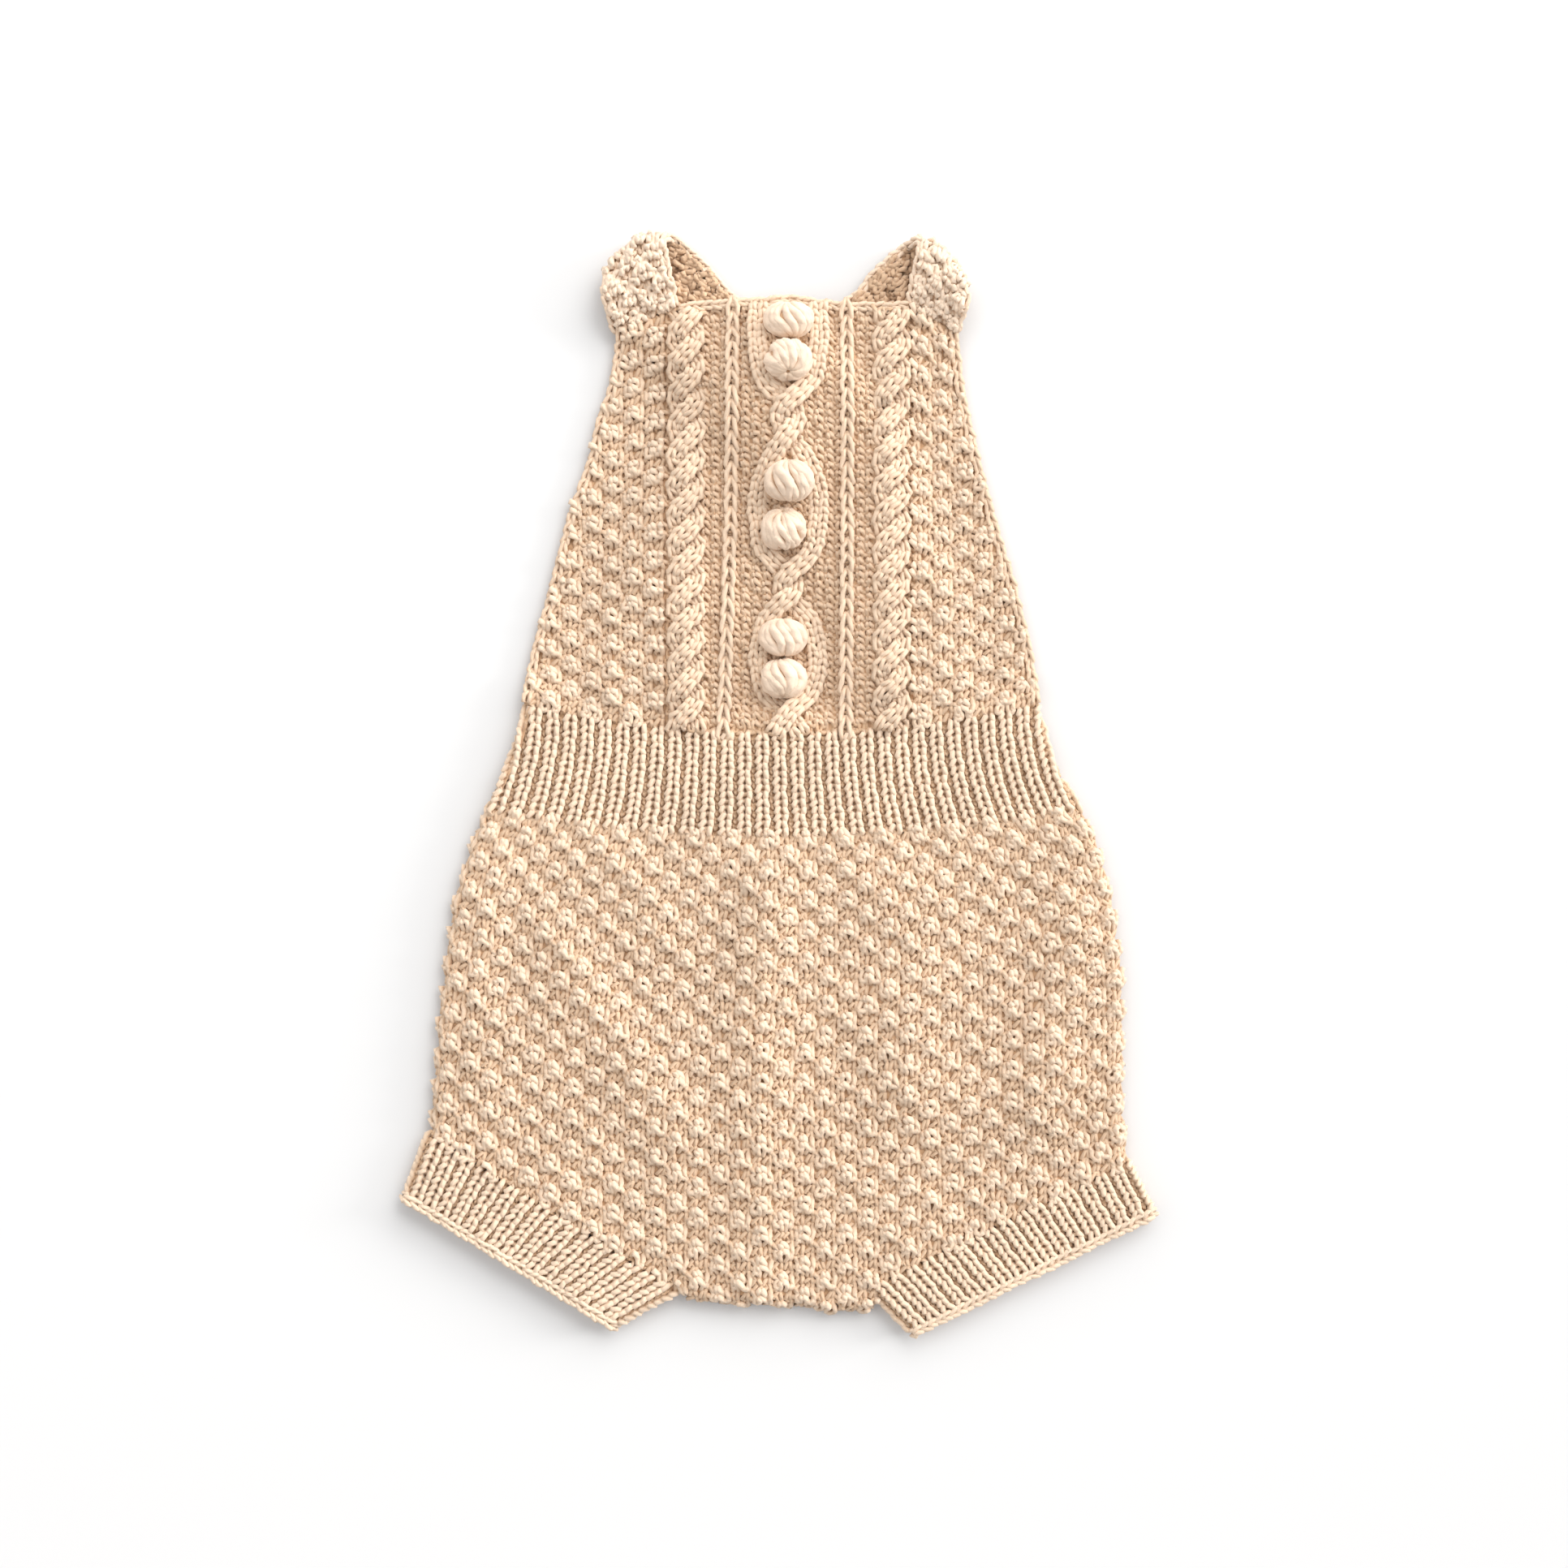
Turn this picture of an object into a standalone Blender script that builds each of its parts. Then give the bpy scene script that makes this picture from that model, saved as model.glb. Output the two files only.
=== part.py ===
"""A knitted baby romper lying flat on its back, front up.

Lengths are millimetres until a mesh is finished, when they become metres.
+X is the wearer's left as the front is seen (right-hand side of the view), +Y runs
from the leg cuffs to the straps, and +Z is up from the surface the romper lies on.
"""

import math

import bmesh
import bpy
from mathutils import Vector

MM = 0.001

# ---------------------------------------------------------------- cloth
WALL = 3.0
GAP = 0.3
LAYER = WALL + GAP
SIDE_ROUND = 5.0
SIDE_WALL = 3.2

# ---------------------------------------------------------------- outline
# Sides of the bib, waistband and shorts: (height y, left edge x, right edge x)
SIDES = (
    (170.0, -58.0, 62.0),
    (155.0, -58.2, 62.4),
    (136.0, -60.8, 64.4),
    (113.7, -67.5, 69.7),
    (91.3, -74.2, 75.3),
    (68.9, -79.8, 82.0),
    (46.5, -86.5, 88.2),
    (24.1, -91.3, 92.4),
    (12.9, -93.8, 94.6),
    (1.7, -100.2, 99.8),
    (-9.5, -106.1, 106.0),
    (-20.7, -110.3, 110.9),
    (-43.1, -114.8, 116.4),
    (-65.5, -117.6, 119.6),
    (-87.9, -119.6, 120.3),
    (-110.3, -121.5, 121.4),
    (-120.4, -122.6, 121.7),
    (-129.9, -123.0, 122.0),
)
# Neckline and strap seams along the top of the bib: (x, y)
BIB_TOP = (
    (-58.2, 156.0),
    (-35.3, 166.4),
    (-17.9, 169.1),
    (6.7, 170.2),
    (26.3, 169.1),
    (44.5, 168.0),
    (62.4, 156.0),
)
# Lower edge of the crotch between the two leg cuffs: (x, y)
CROTCH = (
    (-35.2, -175.6),
    (-31.0, -180.6),
    (-15.0, -181.4),
    (0.0, -181.6),
    (14.0, -183.0),
    (25.0, -184.2),
    (30.0, -182.6),
    (33.0, -173.3),
)
CORNERS = (CROTCH[0][0], CROTCH[-1][0])
# Waistband's two edges, curves through the middle: (low y, rise at the reach, reach x)
WAIST_TOP = (17.2, 10.5, 90.0)
WAIST_BOTTOM = (-17.8, 9.3, 105.0)

# ---------------------------------------------------------------- knitting
RIB_RISE = 0.9
WAIST_RIBS = 30
CUFF_RIBS = 16
CABLE_CENTRES = (-32.6, 38.2)
CABLE_HALF = 7.0
CABLE_CROSSING = 10.3
CABLE_RISE = 2.0
CHAIN_HALF = 2.7
CHAIN_RISE = 1.0
# Chain columns beside the centre cable: (y, left column x, right column x)
CHAINS = ((170.0, -16.2, 23.0), (90.0, -17.0, 23.2), (18.0, -19.6, 22.6))
CENTRE_X = 2.8
STRAND_HALF = 2.9
STRAND_RISE = 2.0
GROUND_SINK = 0.5
# Centre cable: (y, half distance between its strands, negative once they have crossed)
CENTRE_CABLE = (
    (170.0, 10.2),
    (152.0, 10.8),
    (138.0, 9.0),
    (131.5, 0.0),
    (126.0, -3.8),
    (119.8, 0.0),
    (113.0, 8.0),
    (96.0, 10.8),
    (80.0, 9.0),
    (72.5, 0.0),
    (68.0, -3.8),
    (64.5, 0.0),
    (57.0, 8.0),
    (43.0, 10.8),
    (31.0, 8.0),
    (25.0, 0.0),
    (15.0, -6.0),
)
# Bobbles down the middle: (centre x, centre y, width, height)
BOBBLES = (
    (3.1, 159.0, 16.6, 12.6),
    (2.8, 145.2, 15.4, 14.4),
    (3.1, 103.8, 16.6, 14.6),
    (1.1, 87.6, 15.2, 14.8),
    (1.1, 50.6, 15.6, 13.4),
    (1.1, 36.4, 15.4, 13.8),
)
BOBBLE_RISE = 7.2
BOBBLE_LOBES = 8
BOBBLE_LOBE_RISE = 0.035

# ---------------------------------------------------------------- folds
# Soft ridges pressed into the shorts: (x, y) to (x, y), half width, height
FOLDS = (
    (-4.0, -20.0, -8.0, -170.0, 11.0, 1.5),
    (-76.0, -56.0, -32.0, -122.0, 10.0, 1.5),
    (-102.0, -30.0, -100.0, -96.0, 9.0, 1.1),
    (58.0, -36.0, 62.0, -98.0, 12.0, 1.5),
    (102.0, -60.0, 78.0, -120.0, 9.0, 1.2),
)

# ---------------------------------------------------------------- straps
STRAP_HALF = 12.7
SHOULDER_RADIUS = 3.0
# Front of a strap from the bib to the shoulder: (outer x, outer y, inner x, inner y)
LEFT_FRONT = (
    (-61.0, 156.6, -35.4, 166.8),
    (-62.4, 163.0, -35.6, 173.2),
    (-62.6, 169.2, -36.0, 179.8),
    (-61.2, 174.4, -36.6, 185.6),
)
RIGHT_FRONT = (
    (62.6, 156.6, 44.8, 168.5),
    (64.2, 161.8, 45.0, 174.3),
    (65.8, 166.6, 44.8, 179.6),
    (64.9, 170.4, 44.4, 184.2),
)
# Middle of a strap behind the bib, and half the line across it: (x, y, half x, half y)
LEFT_BACK = (
    (-46.8, 180.5, 14.2, 5.9),
    (-34.0, 171.4, 12.0, 7.0),
    (-24.8, 162.8, 10.8, 8.0),
    (-11.6, 150.0, 9.6, 8.6),
    (2.5, 134.0, 10.2, 7.8),
    (14.5, 116.5, 11.2, 6.4),
    (25.0, 97.0, 12.0, 5.0),
    (34.0, 75.5, 12.5, 3.6),
    (41.0, 54.0, 12.8, 2.3),
    (45.6, 35.0, 13.0, 1.4),
    (48.0, 20.6, 13.0, 0.8),
)
RIGHT_BACK = (
    (53.5, 178.0, -11.5, 7.4),
    (42.5, 170.0, -10.0, 8.6),
    (33.5, 161.8, -9.4, 9.0),
    (18.5, 147.5, -9.2, 9.0),
    (3.0, 132.0, -10.0, 8.2),
    (-9.5, 115.5, -11.0, 6.8),
    (-20.5, 96.0, -11.9, 5.2),
    (-29.0, 75.0, -12.4, 3.8),
    (-35.5, 54.0, -12.8, 2.4),
    (-40.0, 35.0, -13.0, 1.4),
    (-42.0, 20.0, -13.0, 0.8),
)

# Leg cuffs, corners: (seam outer x, y, seam inner x, y, edge outer x, y, edge inner x, y)
LEFT_CUFF = (-122.6, -120.4, -35.6, -175.4, -131.3, -143.4, -55.6, -190.1)
RIGHT_CUFF = (121.9, -129.9, 33.4, -172.9, 131.4, -149.6, 48.2, -191.2)

# Rows of a cuff: (share of the way from seam to edge, rib rise, lift of the edge chain)
CUFF_ROWS = (
    (0.012, 0.4, 0.0),
    (0.10, 1.0, 0.0),
    (0.40, 1.0, 0.0),
    (0.72, 1.0, 0.0),
    (0.80, 0.0, 0.0),
    (0.86, 0.0, 0.9),
    (0.95, 0.0, 0.9),
    (1.0, 0.0, 0.0),
)

# ---------------------------------------------------------------- yarn
# Colour and roughness of the yarn on each kind of piece
YARN = {
    "bib": ((0.760, 0.560, 0.390), 0.92),
    "strap": ((0.750, 0.555, 0.388), 0.92),
    "rib": ((0.715, 0.520, 0.355), 0.94),
    "shorts": ((0.745, 0.546, 0.376), 0.92),
    "back": ((0.735, 0.538, 0.370), 0.92),
    "bobble": ((0.890, 0.720, 0.545), 0.88),
}


def between(a, b, t):
    return a + (b - a) * t


def smooth(t):
    t = min(1.0, max(0.0, t))
    return t * t * (3.0 - 2.0 * t)


def lookup(rows, key, column):
    """Value of a column at a key, along straight lines between the rows."""
    rows = sorted(rows)
    if key <= rows[0][0]:
        return rows[0][column]
    for low, high in zip(rows, rows[1:]):
        if key <= high[0]:
            return between(low[column], high[column], (key - low[0]) / (high[0] - low[0]))
    return rows[-1][column]


def left_edge(y):
    return lookup(SIDES, y, 1)


def right_edge(y):
    return lookup(SIDES, y, 2)


def waist_top(x):
    low, rise, reach = WAIST_TOP
    return low + rise * (x / reach) ** 2


def waist_bottom(x):
    low, rise, reach = WAIST_BOTTOM
    return low + rise * (x / reach) ** 2


def distance_to_segment(x, y, x0, y0, x1, y1):
    along = ((x - x0) * (x1 - x0) + (y - y0) * (y1 - y0)) / ((x1 - x0) ** 2 + (y1 - y0) ** 2)
    along = min(1.0, max(0.0, along))
    return math.hypot(x - between(x0, x1, along), y - between(y0, y1, along))


def fold(x, y):
    """Height of the soft ridges in the shorts."""
    rise = 0.0
    for x0, y0, x1, y1, half, height in FOLDS:
        near = distance_to_segment(x, y, x0, y0, x1, y1)
        rise += height * math.exp(-((near / half) ** 2))
    from_side = min(x - left_edge(y), right_edge(y) - x)
    from_waist = waist_bottom(x) - y
    return min(rise, 2.0) * smooth((from_side - 4.0) / 12.0) * smooth(from_waist / 14.0)


def strap_support(x, y, path, margin, slope):
    """Lift, from 0 to 1, that a strap lying below gives to the cloth over it.

    It is whole within the margin beside the strap and falls to nothing over the slope.
    """
    near = min(
        distance_to_segment(x, y, a[0], a[1], b[0], b[1]) for a, b in zip(path, path[1:])
    )
    return 1.0 - smooth((near - STRAP_HALF - margin) / slope)


def bib_under(x, y):
    """Underside of the bib, which drapes over the straps and rises to the waistband."""
    left = strap_support(x, y, LEFT_BACK, 2.6, 16.0)
    right = strap_support(x, y, RIGHT_BACK, 3.2, 16.0)
    straps = max(left, right) + left * right
    seam = LAYER * (1.0 - smooth((y - waist_top(x)) / 14.0))
    return max(LAYER * straps, seam)


def rope(across, y, half, crossing, rise):
    """Height of a two-strand cable that crosses at an even spacing."""
    turn = math.pi * y / crossing
    best = 0.0
    for way in (1.0, -1.0):
        offset = way * 0.42 * half * math.cos(turn)
        lift = 1.0 - 0.30 * way * math.sin(turn)
        apart = abs(across - offset) / (0.66 * half)
        if apart < 1.0:
            best = max(best, rise * lift * math.sqrt(1.0 - apart * apart))
    return best


def ridge(across, half, rise):
    apart = abs(across) / half
    return rise * math.sqrt(1.0 - apart * apart) if apart < 1.0 else 0.0


def bib_relief(x, y):
    """Cables, chains and sunken purl ground on the outer face of the bib."""
    for centre in CABLE_CENTRES:
        if abs(x - centre) < CABLE_HALF:
            return rope(x - centre, y, CABLE_HALF, CABLE_CROSSING, CABLE_RISE)
    if not CABLE_CENTRES[0] < x < CABLE_CENTRES[1]:
        return 0.0
    rise = -GROUND_SINK
    for column in (1, 2):
        rise = max(rise, ridge(x - lookup(CHAINS, y, column), CHAIN_HALF, CHAIN_RISE))
    apart = lookup(CENTRE_CABLE, y, 1)
    for way in (1.0, -1.0):
        rise = max(rise, ridge(x - CENTRE_X - way * apart, STRAND_HALF, STRAND_RISE))
    return rise


def bib_top(x, y):
    return bib_under(x, y) + WALL + bib_relief(x, y)


def bib_clear(x, y):
    """Height that clears the faceted bib around a spot."""
    return 0.4 + max(
        bib_top(x + dx, y + dy) for dx in (-2.7, -1.3, 0.0, 1.3, 2.7) for dy in (-2.6, 0.0, 2.6)
    )


def yarn_material(name, kind):
    colour, roughness = YARN[kind]
    material = bpy.data.materials.new(name)
    material.use_nodes = True
    shader = material.node_tree.nodes["Principled BSDF"]
    shader.inputs["Base Color"].default_value = (*colour, 1.0)
    shader.inputs["Roughness"].default_value = roughness
    shader.inputs["Metallic"].default_value = 0.0
    material.diffuse_color = (*colour, 1.0)
    return material


def finish(name, kind, mesh):
    """Turns a mesh in millimetres into a named object in metres."""
    bmesh.ops.recalc_face_normals(mesh, faces=mesh.faces[:])
    if mesh.calc_volume(signed=True) < 0.0:
        bmesh.ops.reverse_faces(mesh, faces=mesh.faces[:])
    for vert in mesh.verts:
        vert.co *= MM
    data = bpy.data.meshes.new(name)
    mesh.to_mesh(data)
    mesh.free()
    for polygon in data.polygons:
        polygon.use_smooth = True
    data.materials.append(yarn_material(name + "_yarn", kind))
    thing = bpy.data.objects.new(name, data)
    bpy.context.scene.collection.objects.link(thing)
    return thing


def sheet(name, kind, columns, rows, outer, inner):
    """A wall between two faces, each a function of column and row numbers."""
    mesh = bmesh.new()
    bmesh.ops.create_grid(mesh, x_segments=columns, y_segments=rows, size=0.5)
    spots = {
        vert: (round((vert.co.x + 0.5) * columns), round((vert.co.y + 0.5) * rows))
        for vert in mesh.verts
    }
    made = bmesh.ops.extrude_face_region(mesh, geom=mesh.faces[:], use_keep_orig=True)
    copies = [item for item in made["geom"] if isinstance(item, bmesh.types.BMVert)]
    for vert in copies:
        spot = (round((vert.co.x + 0.5) * columns), round((vert.co.y + 0.5) * rows))
        vert.co = inner(*spot)
    for vert, spot in spots.items():
        vert.co = outer(*spot)
    return finish(name, kind, mesh)


def tube(name, kind, around, rows, outer, inner):
    """A wall round a hollow, open at its first and last row."""
    mesh = bmesh.new()
    bmesh.ops.create_grid(mesh, x_segments=around, y_segments=rows, size=0.5)
    made = bmesh.ops.extrude_face_region(mesh, geom=mesh.faces[:], use_keep_orig=True)
    copies = {item for item in made["geom"] if isinstance(item, bmesh.types.BMVert)}
    seam = [
        face
        for face in mesh.faces
        if all(abs(abs(vert.co.x) - 0.5) < 1e-6 for vert in face.verts)
        and len({vert in copies for vert in face.verts}) == 2
        and len({round(vert.co.x, 3) for vert in face.verts}) == 1
    ]
    bmesh.ops.delete(mesh, geom=seam, context="FACES")
    for vert in mesh.verts:
        spot = (round((vert.co.x + 0.5) * around) % around, round((vert.co.y + 0.5) * rows))
        vert.co = (inner if vert in copies else outer)(*spot)
    bmesh.ops.remove_doubles(mesh, verts=mesh.verts[:], dist=0.0001)
    return finish(name, kind, mesh)


# ---------------------------------------------------------------- bib


def build_bib():
    left = CABLE_CENTRES[0]
    right = CABLE_CENTRES[1]
    steps = [round(-CABLE_HALF + CABLE_HALF * 2 * k / 6, 3) for k in range(7)]
    fixed = [left + step for step in steps]
    fixed += [-22.6, -19.6, -17.0, -14.4, -11.6]
    fixed += [-8.6, -5.4, -2.6, 0.1, 2.8, 5.5, 8.2, 11.0, 14.2]
    fixed += [17.4, 20.4, 23.0, 25.6, 28.0]
    fixed += [right + step for step in steps]
    side_steps = 5
    columns = len(fixed) - 1 + 2 * side_steps
    rows = 52

    def column_x(column, y):
        if column < side_steps:
            return between(left_edge(y), fixed[0], column / side_steps)
        if column > columns - side_steps:
            return between(right_edge(y), fixed[-1], (columns - column) / side_steps)
        return fixed[column - side_steps]

    def place(column, row):
        y = between(20.0, 165.0, row / rows)
        for _ in range(6):
            x = column_x(column, y)
            y = between(waist_top(x) + GAP, lookup(BIB_TOP, x, 1), row / rows)
        return x, y

    def outer(column, row):
        x, y = place(column, row)
        return x, y, bib_top(x, y)

    def inner(column, row):
        x, y = place(column, row)
        return x, y, bib_under(x, y)

    return sheet("front_bib", "bib", columns, rows, outer, inner)


# ---------------------------------------------------------------- waistband and cuffs


def ring_points(ribs, per_rib, end_steps, under_steps):
    """Stations round a flattened tube: (run, place along that run, rib rise)."""
    stations = []
    for rib in range(ribs):
        for step, rise in per_rib:
            stations.append(("upper", (rib + step) / ribs, rise))
    stations.append(("upper", 1.0, 0.0))
    for step in range(1, end_steps):
        stations.append(("last", step / end_steps, 0.0))
    for step in range(under_steps + 1):
        stations.append(("under", 1.0 - step / under_steps, 0.0))
    for step in range(1, end_steps):
        stations.append(("first", step / end_steps, 0.0))
    return stations


RIB_SHAPE = ((0.0, 0.0), (0.24, 1.0), (0.76, 1.0))


def flat_ring(station, first, last, wall_out, rise):
    """Point of the ring that runs from first to last, wall_out away from the middle."""
    run, place, rib = station
    radius = LAYER / 2
    middle = WALL / 2 + radius
    dx = last[0] - first[0]
    dy = last[1] - first[1]
    length = math.hypot(dx, dy)
    dx /= length
    dy /= length
    reach = WALL / 2 + radius
    inset = reach / length
    if run in ("upper", "under"):
        along = between(inset, 1.0 - inset, place)
        height = radius + wall_out
        height = middle + height + rib * rise if run == "upper" else middle - height
        return between(first[0], last[0], along), between(first[1], last[1], along), height
    angle = math.pi * place
    out = (radius + wall_out) * math.sin(angle)
    height = middle + (radius + wall_out) * math.cos(angle)
    if run == "last":
        return last[0] - dx * (reach - out), last[1] - dy * (reach - out), height
    height = middle - (radius + wall_out) * math.cos(angle)
    return first[0] + dx * (reach - out), first[1] + dy * (reach - out), height


def build_waistband():
    stations = ring_points(WAIST_RIBS, RIB_SHAPE, 5, 12)
    rows = 6

    def place(column, row, wall_out, rise):
        share = row / rows
        guess = between(-9.0, 27.0, share)
        for _ in range(4):
            first = (left_edge(guess), 0.0)
            last = (right_edge(guess), 0.0)
            x, _, z = flat_ring(stations[column], first, last, wall_out, rise)
            guess = between(waist_bottom(x), waist_top(x), share)
        return x, guess, z

    def outer(column, row):
        edge = 0.35 if row in (0, rows) else 1.0
        return place(column, row, WALL / 2, RIB_RISE * edge)

    def inner(column, row):
        return place(column, row, -WALL / 2, 0.0)

    return tube("waistband", "rib", len(stations), rows, outer, inner)


def build_cuff(name, corners):
    stations = ring_points(CUFF_RIBS, RIB_SHAPE, 5, 4)
    rows = CUFF_ROWS
    seam_outer, seam_inner = corners[0:2], corners[2:4]
    edge_outer, edge_inner = corners[4:6], corners[6:8]

    def place(column, row, wall_out, rise, lift):
        share = rows[row][0]
        first = tuple(between(a, b, share) for a, b in zip(seam_outer, edge_outer))
        last = tuple(between(a, b, share) for a, b in zip(seam_inner, edge_inner))
        if first[0] > last[0]:
            first, last = last, first
        x, y, z = flat_ring(stations[column], first, last, wall_out, rise)
        if stations[column][0] == "upper":
            z += lift
        return x, y, z

    def outer(column, row):
        return place(column, row, WALL / 2, RIB_RISE * rows[row][1], rows[row][2])

    def inner(column, row):
        return place(column, row, -WALL / 2, 0.0, 0.0)

    return tube(name, "rib", len(stations), len(rows) - 1, outer, inner)


# ---------------------------------------------------------------- shorts


def shorts_foot(x):
    """Lower boundary of the shorts: leg seam, crotch, leg seam."""
    if x <= CORNERS[0]:
        t = (x - LEFT_CUFF[0]) / (CORNERS[0] - LEFT_CUFF[0])
        return between(LEFT_CUFF[1], CROTCH[0][1], t)
    if x >= CORNERS[1]:
        t = (x - CORNERS[1]) / (RIGHT_CUFF[0] - CORNERS[1])
        return between(CROTCH[-1][1], RIGHT_CUFF[1], t)
    return lookup(CROTCH, x, 1)


def fan(inset, seam_steps, crotch_steps):
    """Columns of the shorts, from a place at the waist to a place at the foot: (top, foot)."""
    first, last = LEFT_CUFF[0] + inset, RIGHT_CUFF[0] - inset
    feet = [between(first, CORNERS[0], k / seam_steps) for k in range(seam_steps + 1)]
    turned = (CORNERS[0] + 1.0, CORNERS[1] - 1.0)
    feet += [between(*turned, k / crotch_steps) for k in range(crotch_steps + 1)]
    feet.append(CORNERS[1])
    feet += [between(CORNERS[1], last, k / seam_steps) for k in range(1, seam_steps + 1)]
    return [((foot - first) / (last - first), foot) for foot in feet]


def fan_point(column, down, inset, crotch_lift, corner_margin):
    """Point of the shorts on a fan column, down the way from the waist to the foot."""
    top_share, foot_x = column
    in_crotch = CORNERS[0] + corner_margin < foot_x < CORNERS[1] - corner_margin
    foot_y = shorts_foot(foot_x) + (crotch_lift if in_crotch else 0.0)
    first, last = left_edge(foot_y) + inset, right_edge(foot_y) - inset
    foot_share = (foot_x - first) / (last - first)
    guess = -10.0
    for _ in range(4):
        top_x = between(left_edge(guess) + inset, right_edge(guess) - inset, top_share)
        guess = waist_bottom(top_x) - GAP
    y = between(guess, foot_y, down)
    first, last = left_edge(y) + inset, right_edge(y) - inset
    return between(first, last, between(top_share, foot_share, down)), y


def turned_edge(angle, inner):
    """Cross-section of a turned-down edge: (reach out from the flat, height)."""
    if not inner:
        turn = math.radians(angle)
        return SIDE_ROUND * math.cos(turn), (LAYER + WALL) * math.sin(turn)
    reach = SIDE_ROUND - SIDE_WALL if angle < 70.0 else 0.0
    return reach, LAYER * min(1.0, angle / 68.0)


def build_shorts_front():
    angles = (0.0, 22.0, 45.0, 68.0, 90.0)
    wraps = len(angles) - 1
    columns = fan(SIDE_ROUND, 6, 8)
    across = len(columns) - 1 + 2 * wraps
    long_rows = 14
    rows = long_rows + wraps

    def place(column, row, inner):
        inside = min(max(column - wraps, 0), len(columns) - 1)
        in_crotch = CORNERS[0] + 0.1 < columns[inside][1] < CORNERS[1] - 0.1
        down = min(1.0, row / long_rows)
        if not in_crotch:
            down = 0.97 * down + 0.03 * max(0.0, (row - long_rows) / wraps)
        x, y = fan_point(columns[inside], down, SIDE_ROUND, SIDE_ROUND, 0.1)
        step = min(column, across - column)
        if step < wraps:
            reach, z = turned_edge(angles[step], inner)
            y = between(y, shorts_foot(x + (reach if column > wraps else -reach)), down**4)
            if column > wraps:
                return right_edge(y) - SIDE_ROUND + reach, y, z
            return left_edge(y) + SIDE_ROUND - reach, y, z
        if in_crotch and row > long_rows:
            reach, z = turned_edge(angles[rows - row], inner)
            return x, y - reach, z
        return x, y, LAYER + (0.0 if inner else WALL) + fold(x, y)

    def outer(column, row):
        return place(column, rows - row, False)

    def inner(column, row):
        return place(column, rows - row, True)

    return sheet("shorts_front", "shorts", across, rows, outer, inner)


def build_shorts_back():
    inset = SIDE_WALL + GAP + 0.1
    columns = fan(inset, 6, 6)
    rows = 10

    def place(column, row):
        return fan_point(columns[column], 1.0 - row / rows, inset, inset, -0.1)

    def outer(column, row):
        return *place(column, row), WALL

    def inner(column, row):
        return *place(column, row), 0.0

    return sheet("shorts_back", "back", len(columns) - 1, rows, outer, inner)


# ---------------------------------------------------------------- straps
STRAP_COLUMNS = 5


def strap_sections(front, back, other):
    """Rows of points along the middle of a strap's wall, from the bib over the shoulder."""
    rows = []
    steps = 9
    for k in range(steps + 1):
        t = k / steps * (len(front) - 1)
        low = min(int(t), len(front) - 2)
        line = [between(a, b, t - low) for a, b in zip(front[low], front[low + 1])]
        row = []
        for n in range(STRAP_COLUMNS + 1):
            share = n / STRAP_COLUMNS
            x = between(line[0], line[2], share)
            y = between(line[1], line[3], share)
            base = WALL / 2 + bib_under(x, y)
            top = WALL / 2 + 2 * SHOULDER_RADIUS
            row.append((x, y, between(base, top, smooth(k / steps))))
        rows.append(row)
    # Half turn over the shoulder, square to the line of the fold
    outer_x, outer_y, inner_x, inner_y = front[-1]
    fold_length = math.hypot(inner_x - outer_x, inner_y - outer_y)
    away_x = -abs(inner_y - outer_y) / fold_length
    if outer_x > inner_x:
        away_x = -away_x
    away_y = abs(inner_x - outer_x) / fold_length
    x, y, half_x, half_y = back[0]
    under = (x - half_x, y - half_y, x + half_x, y + half_y)
    for k in range(1, 8):
        angle = math.pi * k / 8
        line = [between(a, b, k / 8) for a, b in zip(front[-1], under)]
        reach = SHOULDER_RADIUS * math.sin(angle)
        z = WALL / 2 + SHOULDER_RADIUS * (1.0 + math.cos(angle))
        rows.append(
            [
                (
                    between(line[0], line[2], n / STRAP_COLUMNS) + away_x * reach,
                    between(line[1], line[3], n / STRAP_COLUMNS) + away_y * reach,
                    z,
                )
                for n in range(STRAP_COLUMNS + 1)
            ]
        )
    for low, high in zip(back, back[1:]):
        steps = 5
        for k in range(steps):
            rows.append(back_row([between(a, b, k / steps) for a, b in zip(low, high)], other))
    rows.append(back_row(back[-1], other))
    return rows


def back_row(section, other):
    """Points across a strap behind the bib, lifted where it crosses the other strap."""
    x, y, half_x, half_y = section
    row = []
    for n in range(STRAP_COLUMNS + 1):
        share = 2.0 * n / STRAP_COLUMNS - 1.0
        px = x + share * half_x
        py = y + share * half_y
        seam = waist_top(px) + GAP
        py = between(seam, py, smooth((y - 19.0) / 30.0)) if y < 49.0 else py
        py = max(py, seam)
        lift = LAYER * strap_support(px, py, other, 1.6, 7.0) if other else 0.0
        row.append((px, py, WALL / 2 + lift))
    return row


def build_strap(name, front, back, other):
    rows = strap_sections(front, back, other)
    last = len(rows) - 1
    way = 1.0 if front[0][0] < front[0][2] else -1.0

    def faced(column, row, side):
        here = Vector(rows[column][row])
        along = Vector(rows[min(column + 1, last)][row]) - Vector(rows[max(column - 1, 0)][row])
        across = Vector(rows[column][min(row + 1, STRAP_COLUMNS)])
        across -= Vector(rows[column][max(row - 1, 0)])
        normal = across.cross(along) * way
        normal.normalize()
        return here + normal * side * WALL / 2

    def outer(column, row):
        return faced(column, row, 1.0)

    def inner(column, row):
        return faced(column, row, -1.0)

    return sheet(name, "strap", last, STRAP_COLUMNS, outer, inner)


# ---------------------------------------------------------------- bobbles


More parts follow.
